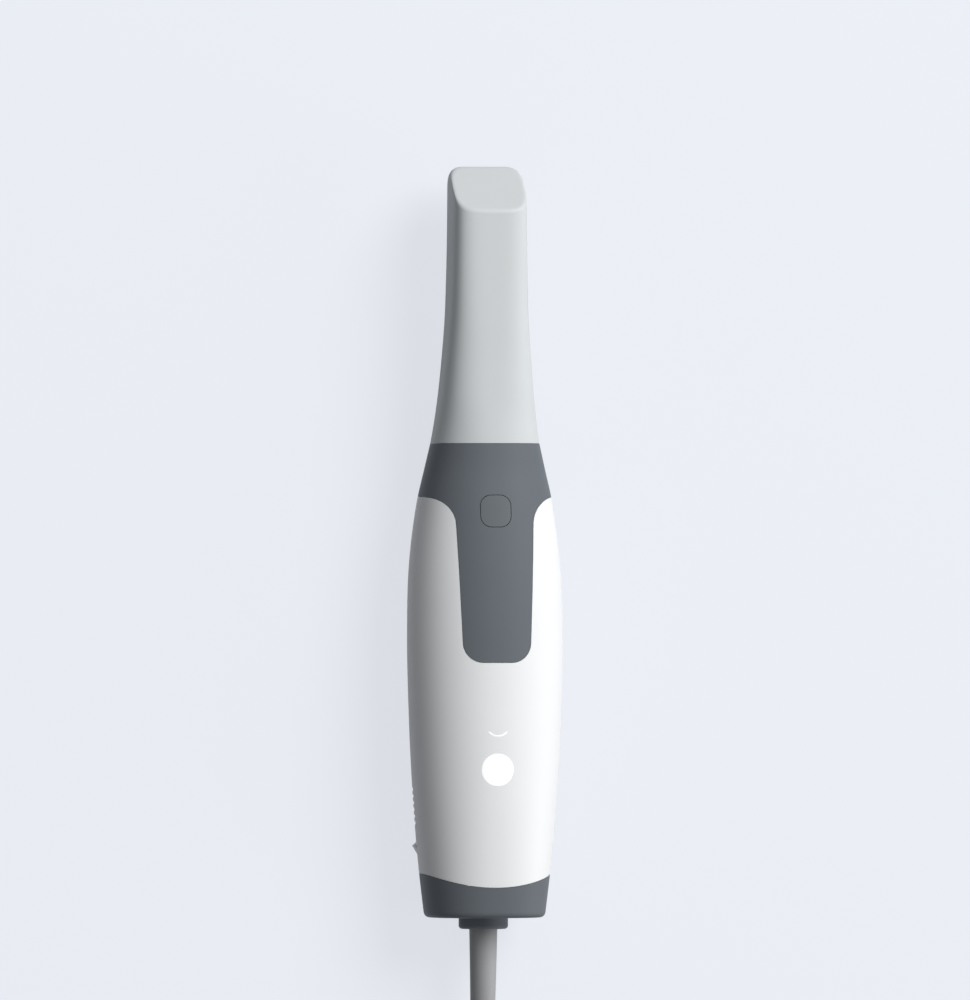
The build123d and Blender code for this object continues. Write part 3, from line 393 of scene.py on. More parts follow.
@dataclass
class Studio:
    """Camera, lights, floor and background."""

    turn: float = 12.5
    distance: float = 6.0
    view_height: float = 0.3196
    aim: tuple[float, float, float] = (0.0, 0.0134, 0.019)
    sensor: float = 36.0
    clip: tuple[float, float] = (0.1, 20.0)
    key_direction: tuple[float, float, float] = (0.567, 0.60, 0.824)
    key_power: float = 86.5
    fill_direction: tuple[float, float, float] = (0.93, -0.35, 0.22)
    fill_power: float = 26.0
    light_distance: float = 3.0
    light_size: float = 2.0
    ambient: float = 0.205
    sky: tuple[float, float, float] = (0.96, 0.98, 1.0)
    background: tuple[float, float, float] = (0.831, 0.855, 0.913)
    floor_glow: float = 0.820
    floor_albedo: float = 0.20
    floor_half: float = 3.0

    def camera(self) -> None:
        """Places the camera that the photo was taken with."""
        angle = math.radians(self.turn)
        back = Vector((-math.sin(angle), 0.0, math.cos(angle)))
        right = Vector((math.cos(angle), 0.0, math.sin(angle)))
        data = bpy.data.cameras.new("photo_camera")
        data.sensor_width = self.sensor
        data.lens = self.sensor * self.distance / self.view_height
        data.clip_start, data.clip_end = self.clip
        camera = linked("photo_camera", data)
        axes = Matrix((right, Vector((0.0, 1.0, 0.0)), back)).transposed().to_4x4()
        camera.matrix_world = Matrix.Translation(Vector(self.aim) + back * self.distance) @ axes
        bpy.context.scene.camera = camera

    def lights(self) -> None:
        """Adds the large soft light from the upper right and a weak one from the right side."""
        rows = (("soft_key", self.key_direction, self.key_power),
                ("soft_fill", self.fill_direction, self.fill_power))
        for name, toward, power in rows:
            direction = Vector(toward).normalized()
            data = bpy.data.lights.new(name, "AREA")
            data.shape = "DISK"
            data.size = self.light_size
            data.energy = power
            place = Matrix.Translation(Vector(self.aim) + direction * self.light_distance)
            linked(name, data).matrix_world = place @ direction.to_track_quat("Z", "Y").to_matrix().to_4x4()

    @staticmethod
    def _rays(tree: Tree) -> Socket:
        """A value that is 1 for camera, glossy and transmission rays.

        Args:
            tree: The node tree that it goes into.

        Returns:
            The value's socket.
        """
        path = add(tree, "ShaderNodeLightPath").outputs
        glossy = maths(tree, "MAXIMUM", path["Is Camera Ray"], path["Is Glossy Ray"])
        return maths(tree, "MAXIMUM", glossy, path["Is Transmission Ray"])

    @staticmethod
    def _empty_tree(owner: bpy.types.ID) -> Tree:
        """The emptied node tree of a world or a material.

        Args:
            owner: The world or material.

        Returns:
            Its tree, with no node left.
        """
        owner.use_nodes = True
        owner.node_tree.nodes.clear()
        return owner.node_tree

    def world(self) -> None:
        """The pale background that the camera sees and the weak even light from around."""
        world = bpy.data.worlds.new("studio")
        bpy.context.scene.world = world
        tree = self._empty_tree(world)
        seen = add(tree, "ShaderNodeBackground", {"Color": (*self.background, 1.0)})
        around = add(tree, "ShaderNodeBackground", {"Color": (*self.sky, 1.0), "Strength": self.ambient})
        mix = add(tree, "ShaderNodeMixShader", {0: self._rays(tree), 1: around.outputs[0],
                                                2: seen.outputs[0]})
        add(tree, "ShaderNodeOutputWorld", {"Surface": mix.outputs[0]})

    def floor(self) -> None:
        """A plain pale floor that glows for the rays that see it and takes the soft shadow."""
        half = self.floor_half
        mesh = bpy.data.meshes.new("studio_floor")
        corners = [(-half, -half, 0.0), (half, -half, 0.0), (half, half, 0.0), (-half, half, 0.0)]
        mesh.from_pydata(corners, [], [(0, 1, 2, 3)])
        floor = linked("studio_floor", mesh)
        material = bpy.data.materials.new("pale_floor")
        tree = self._empty_tree(material)
        albedo = (*(part * self.floor_albedo for part in self.background), 1.0)
        matt = add(tree, "ShaderNodeBsdfDiffuse", {"Color": albedo})
        strength = maths(tree, "MULTIPLY", self._rays(tree), self.floor_glow)
        glow = add(tree, "ShaderNodeEmission", {"Color": (*self.background, 1.0), "Strength": strength})
        both = add(tree, "ShaderNodeAddShader", {0: matt.outputs[0], 1: glow.outputs[0]})
        add(tree, "ShaderNodeOutputMaterial", {"Surface": both.outputs[0]})
        mesh.materials.append(material)


# Sizes and forms

@dataclass(frozen=True)
class Handpiece:
    """Places and thicknesses of the handpiece that several pieces share, in millimetres."""

    width: float = 50.0
    depth: float = 38.6
    rear: float = -120.0
    seam: float = 31.5
    tip_end: float = 120.0
    parting: float = 15.0
    collar_edge: float = 14.4
    tongue_end: float = -38.4
    tongue_root_half: float = 12.9
    tongue_end_half: float = 10.8
    tongue_root_radius: float = 9.0
    tongue_end_radius: float = 6.4
    cap_flank: float = -104.0
    cap_centre: float = -110.3
    cable_axis: float = 16.5
    optical_axis: float = 20.6
    button_place: float = 9.9
    button_half_width: float = 4.875
    button_half_length: float = 5.0
    button_radius: float = 3.4
    seam_gap: float = 0.12
    far: float = 60.0
    beyond: float = 200.0
    clear: float = 1.0

    def button_outline(self, grow: float) -> Outline:
        """The scan button's outline.

        Args:
            grow: How far it is drawn out.

        Returns:
            Its points, anticlockwise.
        """
        half_x, half_y = self.button_half_width + grow, self.button_half_length + grow
        return rectangle(-half_x, self.button_place - half_y, half_x, self.button_place + half_y,
                         self.button_radius + grow)


SIZES = Handpiece()

# Share of the length, half width, top, sole and power of the oval at each station
HANDLE_ROWS = ((0.000, 0.768, 0.896, 0.052, 2.30), (0.094, 0.836, 0.938, 0.014, 2.25),
               (0.198, 0.895, 0.971, -0.008, 2.20), (0.313, 0.946, 0.992, -0.016, 2.15),
               (0.462, 0.986, 1.000, -0.016, 2.15), (0.607, 1.000, 0.990, -0.016, 2.15),
               (0.754, 0.966, 0.956, -0.012, 2.18), (0.838, 0.905, 0.922, 0.016, 2.22),
               (0.887, 0.855, 0.898, 0.044, 2.26), (0.943, 0.775, 0.868, 0.081, 2.32),
               (1.000, 0.694, 0.848, 0.119, 2.40))
TIP_ROWS = ((0.000, 0.694, 0.848, 0.119, 2.40), (0.085, 0.644, 0.842, 0.166, 2.60),
            (0.157, 0.608, 0.837, 0.199, 2.90), (0.299, 0.558, 0.832, 0.246, 3.20),
            (0.445, 0.517, 0.832, 0.275, 3.60), (0.593, 0.496, 0.832, 0.290, 4.00),
            (0.734, 0.484, 0.832, 0.298, 4.30), (0.864, 0.478, 0.832, 0.301, 4.50),
            (1.040, 0.474, 0.832, 0.303, 4.50))


def soft_max(first: np.ndarray, second: np.ndarray, blend: float) -> np.ndarray:
    """The larger of two distances, rounded where they are within the blend of each other."""
    near = np.maximum(blend - np.abs(first - second), 0.0) / blend
    return np.maximum(first, second) + near * near * blend / 4.0


@dataclass(frozen=True)
class OvalForm:
    """A long oval form through rows of stations, as a signed distance across each section."""

    rows: tuple
    start: float
    length: float

    def _column(self, number: int, share: np.ndarray) -> np.ndarray:
        """One column of the rows at any share of the length, by cubic pieces.

        Args:
            number: The column.
            share: Shares of the length.

        Returns:
            The column's values there.
        """
        table = np.array(self.rows)
        at, values = table[:, 0], table[:, number]
        slopes = np.gradient(values, at)
        index = np.clip(np.searchsorted(at, share) - 1, 0, len(at) - 2)
        step = at[index + 1] - at[index]
        t = np.clip((share - at[index]) / step, 0.0, 1.0)
        return ((1 + 2 * t) * (1 - t) ** 2 * values[index] + t * (1 - t) ** 2 * step * slopes[index]
                + t * t * (3 - 2 * t) * values[index + 1] + t * t * (t - 1) * step * slopes[index + 1])

    def distance(self, points: np.ndarray, inset: float) -> np.ndarray:
        """Distance outside the form, measured across the handpiece.

        Args:
            points: Rows of x, y and z.
            inset: How far the form is drawn in.

        Returns:
            One value a point, negative inside.
        """
        share = (points[:, 1] - self.start) / self.length
        half = self._column(1, share) * SIZES.width / 2.0 - inset
        top = self._column(2, share) * SIZES.depth
        sole = self._column(3, share) * SIZES.depth
        upright = (top - sole) / 2.0 - inset
        power = self._column(4, share)
        across, tall = np.abs(points[:, 0]), np.abs(points[:, 2] - (top + sole) / 2.0)
        reach = np.hypot(across, tall) + 1e-9
        unit = ((across / half) ** power + (tall / upright) ** power + 1e-12) ** (1.0 / power)
        return reach - reach / unit


HANDLE_FORM = OvalForm(HANDLE_ROWS, SIZES.rear, SIZES.seam - SIZES.rear)
TIP_FORM = OvalForm(TIP_ROWS, SIZES.seam, SIZES.tip_end - SIZES.seam)


@dataclass(frozen=True)
class HandleField:
    """The handle's form with its flat belly and its rounded rear edge."""

    inset: float = 0.0
    rear: float = SIZES.rear
    rear_blend: float = 1.9
    belly_blend: float = 1.2

    def __call__(self, points: np.ndarray) -> np.ndarray:
        """Distance outside the field.

        Args:
            points: Rows of x, y and z.

        Returns:
            One value a point, negative inside.
        """
        oval = HANDLE_FORM.distance(points, self.inset)
        belly = soft_max(oval, self.inset - points[:, 2], self.belly_blend)
        return soft_max(belly, self.rear - points[:, 1], self.rear_blend)


@dataclass(frozen=True)
class TipField:
    """The tip's form with its slanted face and its round heel."""

    inset: float = 0.0
    crown: float = 32.115
    drop: float = 14.1
    heel_y: float = 111.7
    heel_z: float = 18.24
    heel_radius: float = 8.3
    corner_blend: float = 5.2
    edge_blend: float = 0.8

    def __call__(self, points: np.ndarray) -> np.ndarray:
        """Distance outside the field.

        Args:
            points: Rows of x, y and z.

        Returns:
            One value a point, negative inside.
        """
        oval = TIP_FORM.distance(points, self.inset)
        rise = points[:, 2] - (self.crown - self.drop)
        slant = (points[:, 1] - SIZES.tip_end + rise) / math.sqrt(2.0) + self.inset
        ahead = points[:, 1] - self.heel_y
        below = np.maximum(self.heel_z - points[:, 2], 0.0)
        heel = np.where(ahead > 0.0, np.hypot(ahead, below), below + ahead) - self.heel_radius + self.inset
        return soft_max(soft_max(oval, heel, self.corner_blend), slant, self.edge_blend)


def cast(field: Field, origins: np.ndarray, directions: np.ndarray, halvings: int = 34) -> np.ndarray:
    """Where rays from inside a field cross its surface.

    Args:
        field: Gives the distance outside the surface, one value a point.
        origins: Start of each ray.
        directions: Unit direction of each ray.
        halvings: How often each ray's interval is halved.

    Returns:
        One point a ray.
    """
    near = np.zeros(len(origins))
    out = np.full(len(origins), SIZES.far)
    for _ in range(halvings):
        middle = (near + out) / 2.0
        inside = field(origins + directions * middle[:, None]) < 0.0
        near = np.where(inside, middle, near)
        out = np.where(inside, out, middle)
    return origins + directions * near[:, None]


# Solids

def new_solid(name: str, points: object, faces: list) -> Solid:
    """A mesh object in metres from points in millimetres.

    Args:
        name: The object's name.
        points: Its points.
        faces: Its faces.

    Returns:
        The new object.
    """
    mesh = bpy.data.meshes.new(name)
    mesh.from_pydata((np.asarray(points, dtype=float) * MM).tolist(), [], faces)
    mesh.update()
    return linked(name, mesh)


def wall_faces(rows: int, around: int) -> list[tuple[int, ...]]:
    """Quads between rows of points that each run once round a body.

    Args:
        rows: How many rows there are.
        around: Points in a row.

    Returns:
        The faces, as numbers of points.
    """
    return [(row * around + step, (row + 1) * around + step,
             (row + 1) * around + (step + 1) % around, row * around + (step + 1) % around)
            for row in range(rows - 1) for step in range(around)]


def lofted(name: str, rows: list, flip: bool) -> Solid:
    """A closed body through rows of points.

    Args:
        name: The object's name.
        rows: The rows, all with the same number of points.
        flip: Whether the faces turn the other way round.

    Returns:
        The new object.
    """
    count, last = len(rows[0]), len(rows) - 1
    ends = [tuple(range(count)), tuple(reversed(range(last * count, (last + 1) * count)))]
    faces = [face[::-1] if flip else face for face in ends + wall_faces(len(rows), count)]
    return new_solid(name, [point for row in rows for point in row], faces)


def prism(name: str, outline: Outline, low: float, high: float) -> Solid:
    """An upright closed prism of an anticlockwise outline between two heights."""
    return lofted(name, [[(x, y, height) for x, y in outline] for height in (low, high)], flip=True)


def drawn(name: str, sections: list[tuple[float, Outline]]) -> Solid:
    """A closed body through sections across Y, each its place and anticlockwise X and Z outline."""
    return lofted(name, [[(x, place, z) for x, z in outline] for place, outline in sections], flip=False)


def arc(radius: float, across: float, along: float, start: float, end: float, steps: int) -> Outline:
    """Points of an arc round a point, from one angle to another in radians."""
    return [(across + radius * math.cos(turn), along + radius * math.sin(turn))
            for turn in np.linspace(start, end, steps + 1).tolist()]


def circle(radius: float, across: float, along: float, steps: int = 64) -> Outline:
    """The outline of a circle round a point, anticlockwise."""
    return arc(radius, across, along, 0.0, 2.0 * math.pi, steps)[:-1]


def rounded_outline(corners: list, radii: list, steps: int = 14) -> Outline:
    """A closed outline with an arc at each corner.

    Args:
        corners: The corners, anticlockwise.
        radii: The radius at each corner, 0 for a sharp one.
        steps: Pieces of each arc.

    Returns:
        The outline's points.
    """
    outline = []
    for number, (corner, radius) in enumerate(zip(corners, radii)):
        here = Vector(corner)
        if radius <= 0.0:
            outline.append(tuple(here))
            continue
        back = (Vector(corners[number - 1]) - here).normalized()
        ahead = (Vector(corners[(number + 1) % len(corners)]) - here).normalized()
        half = back.angle(ahead) / 2.0
        centre = here + (back + ahead).normalized() * radius / math.sin(half)
        first = here + back * radius / math.tan(half) - centre
        last = here + ahead * radius / math.tan(half) - centre
        sweep = first.angle_signed(last)
        outline += [tuple(centre + Matrix.Rotation(-sweep * step / steps, 2) @ first)
                    for step in range(steps + 1)]
    return outline


def rectangle(left: float, rear: float, right: float, front: float,
              radius: float = 0.0, steps: int = 14) -> Outline:
    """The outline of a rectangle between two corners, anticlockwise, with round corners."""
    corners = [(left, rear), (right, rear), (right, front), (left, front)]
    return rounded_outline(corners, [radius] * len(corners), steps)


def combine(base: Solid, tool: Solid, operation: str = "DIFFERENCE") -> None:
    """Cuts, joins or intersects a solid with another, which is used up.

    Args:
        base: The solid that changes.
        tool: The other solid.
        operation: DIFFERENCE, UNION or INTERSECT.
    """
    modifier = base.modifiers.new("combine", "BOOLEAN")
    modifier.operation = operation
    modifier.solver = "MANIFOLD"
    modifier.object = tool
    mesh = evaluated_mesh(base)
    base.modifiers.remove(modifier)
    spent = (base.data, tool.data)
    base.data = mesh
    bpy.data.objects.remove(tool)
    for old in spent:
        bpy.data.meshes.remove(old)


@dataclass(frozen=True)
class Rings:
    """How a long closed body is sampled: rings along the axis and fans of rings round its ends."""

    rear: float
    front: float
    axis_height: float
    around: int = 176
    pitch: float = 1.2
    fan: int = 1
    rear_fan: bool = False
    front_fan: bool = False

    def body(self, name: str, surface: Field) -> Solid:
        """Samples a field as one closed mesh.

        Args:
            name: The object's name.
            surface: The field.

        Returns:
            The new object.
        """
        count = max(2, int(round((self.front - self.rear) / self.pitch)))
        stations = [(self.rear + (self.front - self.rear) * step / count, 0.0) for step in range(count + 1)]
        slants = [math.pi / 2.0 * step / self.fan for step in range(1, self.fan)]
        if self.rear_fan:
            stations = [(self.rear, -slant) for slant in reversed(slants)] + stations
        if self.front_fan:
            stations += [(self.front, slant) for slant in slants]
        turn = np.arange(self.around) * 2.0 * math.pi / self.around
        middles = [(0.0, self.rear, self.axis_height), (0.0, self.front, self.axis_height)]
        origins = [np.tile((0.0, place, self.axis_height), (self.around, 1)) for place, _ in stations]
        directions = [np.column_stack((np.cos(turn) * math.cos(slant),
                                       np.full(self.around, math.sin(slant)),
                                       np.sin(turn) * math.cos(slant))) for _, slant in stations]
        points = cast(surface, np.vstack([*origins, middles]),
                      np.vstack([*directions, (0.0, -1.0, 0.0), (0.0, 1.0, 0.0)]))
        if not self.rear_fan:
            points[-2] = middles[0]
        if not self.front_fan:
            points[-1] = middles[1]
        return new_solid(name, points, self._faces(len(stations)))

    def _faces(self, rings: int) -> list[tuple[int, ...]]:
        """Outward faces between the rings and from the end rings to the two middles.

        Args:
            rings: How many rings there are.

        Returns:
            The faces.
        """
        rear, last = rings * self.around, (rings - 1) * self.around
        faces = wall_faces(rings, self.around)
        for step in range(self.around):
            after = (step + 1) % self.around
            faces += [(rear, step, after), (rear + 1, last + after, last + step)]
        return faces


class Repeats:
    """Geometry Nodes trees for what repeats on the scanner and its cable."""

    PLAIN_INPUTS = ("Count", "Mirror", "Stretch", "Seed")
    BAR_SIDES = 20
    THREAD_SEGMENTS, THREAD_RINGS = 10, 8
    STITCH_RANGE = (0.9, 1.1)

    def __init__(self) -> None:
        """Builds the trees once."""
        self.boxes = self._mirrored_row("box_row", "GeometryNodeMeshCube", {"Size": "Vector"}, {}, 0.0)
        self.bars = self._mirrored_row("bar_row", "GeometryNodeMeshCylinder",
                                       {"Radius": "Float", "Depth": "Float"},
                                       {"Vertices": self.BAR_SIDES}, math.pi / 2.0)
        self.stitches = self._stitch_path()

    @staticmethod
    def _tree(name: str, sockets: dict[str, str]) -> tuple[Tree, Sockets]:
        """Starts a tree with named inputs.

        Args:
            name: The tree's name.
            sockets: Each input's name and its kind of socket.

        Returns:
            The tree and its inputs.
        """
        tree = bpy.data.node_groups.new(name, "GeometryNodeTree")
        tree.interface.new_socket("Geometry", in_out="OUTPUT", socket_type="NodeSocketGeometry")
        for title, kind in {"Geometry": "Geometry", **sockets, "Material": "Material"}.items():
            tree.interface.new_socket(title, in_out="INPUT", socket_type=f"NodeSocket{kind}")
        return tree, add(tree, "NodeGroupInput").outputs

    @staticmethod
    def _close(tree: Tree, inputs: Sockets, spread: dict) -> Tree:
        """Ends a tree: instances on points, made real and given the material.

        Args:
            tree: The tree.
            inputs: Its inputs.
            spread: What the node that spreads the instances takes.

        Returns:
            The tree.
        """
        instances = add(tree, "GeometryNodeInstanceOnPoints", spread).outputs["Instances"]
        real = add(tree, "GeometryNodeRealizeInstances", {"Geometry": instances}).outputs["Geometry"]
        paint = add(tree, "GeometryNodeSetMaterial", {"Geometry": real, "Material": inputs["Material"]})
        add(tree, "NodeGroupOutput", {"Geometry": paint.outputs["Geometry"]})
        return tree

    def _mirrored_row(self, name: str, shape: str, sizes: dict[str, str], fixed: dict,
                      turn: float) -> Tree:
        """Tree of one straight row of a shape, and its mirror image.

        Args:
            name: The tree's name.
            shape: The node that makes the repeated shape.
            sizes: That node's inputs that are inputs of the tree, with their kinds.
            fixed: Values of its other inputs.
            turn: How far each shape is turned about Y, in radians.

        Returns:
            The tree.
        """
        tree, inputs = self._tree(name, {"Count": "Int", "Start": "Vector", "Step": "Vector",
                                         "Mirror": "Vector", **sizes})
        feeds = {"Count": inputs["Count"], "Start Location": inputs["Start"], "Offset": inputs["Step"]}
        line = add(tree, "GeometryNodeMeshLine", feeds, mode="OFFSET", count_mode="TOTAL").outputs["Mesh"]
        mirror = add(tree, "GeometryNodeTransform", {"Geometry": line, "Scale": inputs["Mirror"]})
        both = add(tree, "GeometryNodeJoinGeometry", {"Geometry": line})
        feed(tree, both, {"Geometry": mirror.outputs["Geometry"]})
        solid = add(tree, shape, {**fixed, **{size: inputs[size] for size in sizes}})
        return self._close(tree, inputs, {"Points": both.outputs["Geometry"], "Rotation": (0.0, turn, 0.0),
                                          "Instance": solid.outputs["Mesh"]})

    def _stitch_path(self) -> Tree:
        """Tree of short thread stitches along a curve, each a little longer or shorter.

        Returns:
            The tree.
        """
        tree, inputs = self._tree("stitch_path", {"Pitch": "Float", "Thread": "Float",
                                                  "Stretch": "Float", "Seed": "Int"})
        feeds = {"Curve": inputs["Geometry"], "Length": inputs["Pitch"]}
        places = add(tree, "GeometryNodeCurveToPoints", feeds, mode="LENGTH").outputs
        feeds = {"Segments": self.THREAD_SEGMENTS, "Rings": self.THREAD_RINGS, "Radius": inputs["Thread"]}
        thread = add(tree, "GeometryNodeMeshUVSphere", feeds)
        vary = add(tree, "FunctionNodeRandomValue", {"Seed": inputs["Seed"]}, data_type="FLOAT")
        limits = [socket for socket in vary.inputs if socket.type == "VALUE" and socket.enabled]
        for socket, limit in zip(limits, self.STITCH_RANGE):
            socket.default_value = limit
        value = next(socket for socket in vary.outputs if socket.type == "VALUE" and socket.enabled)
        length = maths(tree, "MULTIPLY", value, inputs["Stretch"])
        scale = add(tree, "ShaderNodeCombineXYZ", {"X": 1.0, "Y": 1.0, "Z": length})
        return self._close(tree, inputs, {"Points": places["Points"], "Rotation": places["Rotation"],
                                          "Instance": thread.outputs["Mesh"],
                                          "Scale": scale.outputs["Vector"]})

    def grow(self, name: str, tree: Tree, path: list | None = None, **values: object) -> Solid:
        """Runs a tree once and keeps its result as a plain mesh.

        Args:
            name: The new object's name.
            tree: The tree.
            path: Closed outlines in millimetres that it follows, if it follows any.
            **values: Values of its inputs by name, lengths in millimetres.

        Returns:
            The new object.
        """
        if path:
            data = bpy.data.curves.new(name, "CURVE")
            data.dimensions = "3D"
            for outline in path:
                set_points(data.splines.new("POLY"), outline).use_cyclic_u = True
        else:
            data = bpy.data.meshes.new(name)
        host = linked(name, data)
        modifier = host.modifiers.new("repeat", "NODES")
        modifier.node_group = tree
        for socket in tree.interface.items_tree:
            if socket.in_out == "INPUT" and socket.name in values:
                unit = 1 if socket.name in self.PLAIN_INPUTS else MM
                modifier[socket.identifier] = np.multiply(values[socket.name], unit).tolist()
        mesh = evaluated_mesh(host)
        host.modifiers.remove(modifier)
        bpy.data.objects.remove(host)
        return linked(name, mesh)


def set_points(spline: bpy.types.Spline, places: list) -> bpy.types.Spline:
    """Gives a new spline its points, from places in millimetres.

    Args:
        spline: The spline.
        places: One place a point.

    Returns:
        The spline.
    """
    spline.points.add(len(places) - 1)
    for point, place in zip(spline.points, places):
        point.co = (*(value * MM for value in place), 1.0)
    return spline


# Housing

@dataclass
class Housing:
    """The handle's shells, collar and cap, cut from one smooth form."""

    shelf: MaterialShelf
    repeats: Repeats
    wall: float = 2.0
    skin: float = 1.0
    front_wall: float = 2.0
    collar_rear: float = -100.0
    cap_floor: float = 2.5
    fan_pivot: float = -106.0
    axis_height: float = 18.5
    gland_bore: float = 6.4
    bore_reach: float = 5.0
    nose_half_width: float = 10.85
    nose_half_height: float = 8.25
    nose_radius: float = 4.65
    button_grow: float = 0.2
    cap_reach: float = 1.1
    cap_steps: int = 48
    disc_place: float = -72.55
    disc_radius: float = 5.25
    disc_steps: int = 96
    bar_place: float = -61.75
    bar_half: float = 2.82
    bar_sag: float = 1.18
    bar_stroke: float = 0.46
    bar_gap: float = 0.04
    bar_steps: int = 24
    bar_end_steps: int = 12
    vent_count: int = 6
    vent_pitch: float = 2.15
    vent_width: float = 1.0
    vent_height: float = 11.2
    vent_top: float = 17.2
    vent_reach: float = 20.0
    vent_start: float = -90.3
    catch_start: float = -100.6
    catch_length: float = 5.1
    catch_rise: float = 1.6
    catch_height: float = 4.0
    catch_front: float = 1.6
    catch_flank: float = 20.45
    catch_root: float = 1.4
    catch_heel: float = 0.5
    catch_toe: float = 0.2
    catch_drop: float = 0.1

    def outside(self, name: str) -> Solid:
        """The handle's dense outer form."""
        rings = Rings(self.fan_pivot, SIZES.seam, self.axis_height, fan=64, rear_fan=True)
        return rings.body(name, HandleField())

    def flush(self, piece: Solid) -> Solid:
        """Trims an upright piece to the handle's outer form."""
        combine(piece, self.outside("outer"), "INTERSECT")
        return piece

    def hollow(self, inset: float, rear: float, front: float) -> Solid:
        """The handle's form, drawn in by a wall, between two places."""
        rings = Rings(rear, front, self.axis_height, around=120, pitch=3.0)
        return rings.body("hollow", HandleField(inset=inset, rear=rear - SIZES.far))

    @staticmethod
    def collar_zone(grow: float) -> Solid:
        """Cutter of the collar's ring and tongue.

        Args:
            grow: How far it is drawn out.

        Returns:
            The cutter.
        """
        side = SIZES.width
        edge, end = SIZES.collar_edge - grow, SIZES.tongue_end - grow
        root, tail = SIZES.tongue_root_half + grow, SIZES.tongue_end_half + grow
        corners = [(-side, SIZES.far), (-side, edge), (-root, edge), (-tail, end), (tail, end),
                   (root, edge), (side, edge), (side, SIZES.far)]
        inner, outer = SIZES.tongue_root_radius - grow, SIZES.tongue_end_radius + grow
        radii = [0.0, 0.0, inner, outer, outer, inner, 0.0, 0.0]
        zone = prism("zone", rounded_outline(corners, radii), SIZES.parting, SIZES.far)
        ring = rectangle(-side, edge, side, SIZES.far)
        combine(zone, prism("ring_zone", ring, -SIZES.far, SIZES.far - SIZES.clear), "UNION")
        return zone

    def cap_zone(self, grow: float) -> Solid:
        """Cutter of the rear cap, its seam an arc that dips in the middle.

        Args:
            grow: How far the seam is moved forwards.

        Returns:
            The cutter.
        """
        half, dip = SIZES.width / 2.0, SIZES.cap_flank - SIZES.cap_centre
        radius = (half * half + dip * dip) / (2.0 * dip)
        reach = math.asin(half / radius) * self.cap_reach
        down = -math.pi / 2.0
        seam = arc(radius, 0.0, SIZES.cap_centre + radius + grow, down + reach, down - reach,
                   self.cap_steps)
        rear = SIZES.rear - SIZES.far
        return prism("zone", [(seam[-1][0], rear), (seam[0][0], rear), *seam], -SIZES.far, SIZES.far)

    def bar_cutter(self, name: str, grow: float, low: float) -> Solid:
        """Curved stroke of the light bar, with round ends.

        Args:
            name: The object's name.
            grow: How far the stroke is drawn out.
            low: Height of its underside.

        Returns:
            The new object.
        """
        radius = (self.bar_half ** 2 + self.bar_sag ** 2) / (2.0 * self.bar_sag)
        centre = self.bar_place + radius
        reach = math.asin(self.bar_half / radius)
        half = self.bar_stroke / 2.0 + grow
        quarter = math.pi / 2.0
        across, along = radius * math.sin(reach), centre - radius * math.cos(reach)
        rows = ((radius + half, 0.0, centre, -quarter - reach, reach - quarter, self.bar_steps),
                (half, across, along, reach - quarter, reach + quarter, self.bar_end_steps),
                (radius - half, 0.0, centre, reach - quarter, -quarter - reach, self.bar_steps),
                (half, -across, along, quarter - reach, 3.0 * quarter - reach, self.bar_end_steps))
        outline = [point for row in rows for point in arc(*row)[:-1]]
        return prism(name, outline, low, SIZES.far)

    def part_of(self, outer: Solid, name: str, zone: Solid) -> Solid:
        """A copy of the outer form, cut down to a zone.

        Args:
            outer: The handle's outer form.
            name: The copy's name.
            zone: The zone's solid.

        Returns:
            The copy.
        """
        piece = linked(name, outer.data.copy())
        combine(piece, zone, "INTERSECT")
        return piece

    def collar(self, outer: Solid) -> None:
        """Grey collar with its front wall and tongue.

        Args:
            outer: The handle's outer form.
        """
        piece = self.part_of(outer, "collar", self.collar_zone(0.0))
        combine(piece, self.hollow(self.skin, self.collar_rear, SIZES.seam - self.front_wall))
        nose = rectangle(-self.nose_half_width, SIZES.optical_axis - self.nose_half_height,
                         self.nose_half_width, SIZES.optical_axis + self.nose_half_height, self.nose_radius)
        combine(piece, drawn("bore", [(-SIZES.far, nose), (SIZES.far, nose)]))
        well = SIZES.button_outline(self.button_grow)
        combine(piece, prism("well", well, SIZES.depth / 2.0, SIZES.far))
        self.shelf.dress(piece, Slot.GREY, HANDLE, "front_collar")

    def cap(self, outer: Solid) -> None:
        """Dark rear cap with its gland bore.

        Args:
            outer: The handle's outer form.
        """
        piece = self.part_of(outer, "cap", self.cap_zone(0.0))
        rear = SIZES.rear + self.cap_floor
        combine(piece, self.hollow(self.wall, rear, 0.0))
        ring = circle(self.gland_bore, 0.0, SIZES.cable_axis)
        combine(piece, drawn("bore", [(SIZES.rear - self.bore_reach, ring), (rear + self.bore_reach, ring)]))
        self.shelf.dress(piece, Slot.GREY, HANDLE, "rear_cap")

    def shells(self, outer: Solid) -> None:
        """White upper and lower shells, made from what the collar and the cap leave.

        Args:
            outer: The handle's outer form, which becomes the lower shell.
        """
        gap = SIZES.seam_gap
        for zone in (self.collar_zone(gap), self.cap_zone(gap)):
            combine(outer, zone)
        combine(outer, self.hollow(self.wall, SIZES.rear + self.wall, SIZES.seam))
        upper = linked("upper_shell", outer.data.copy())
        outer.name = "lower_shell"
        across = rectangle(-SIZES.width, -SIZES.beyond, SIZES.width, SIZES.beyond)
        for shell, low, high in ((upper, -SIZES.far, SIZES.parting + gap / 2),
                                 (outer, SIZES.parting - gap / 2, SIZES.far)):
            combine(shell, prism("half", across, low, high))
            combine(shell, self.vents())
        disc = circle(self.disc_radius, 0.0, self.disc_place, self.disc_steps)
        combine(upper, prism("hole", disc, SIZES.depth / 2, SIZES.far))
        combine(upper, self.bar_cutter("slot", self.bar_gap, SIZES.depth / 2))
        for side in (-1, 1):
            combine(outer, self.catch(side), "UNION")
        self.shelf.dress(upper, Slot.WHITE, HANDLE, "top_shell")
        self.shelf.dress(outer, Slot.WHITE, HANDLE, "bottom_shell")

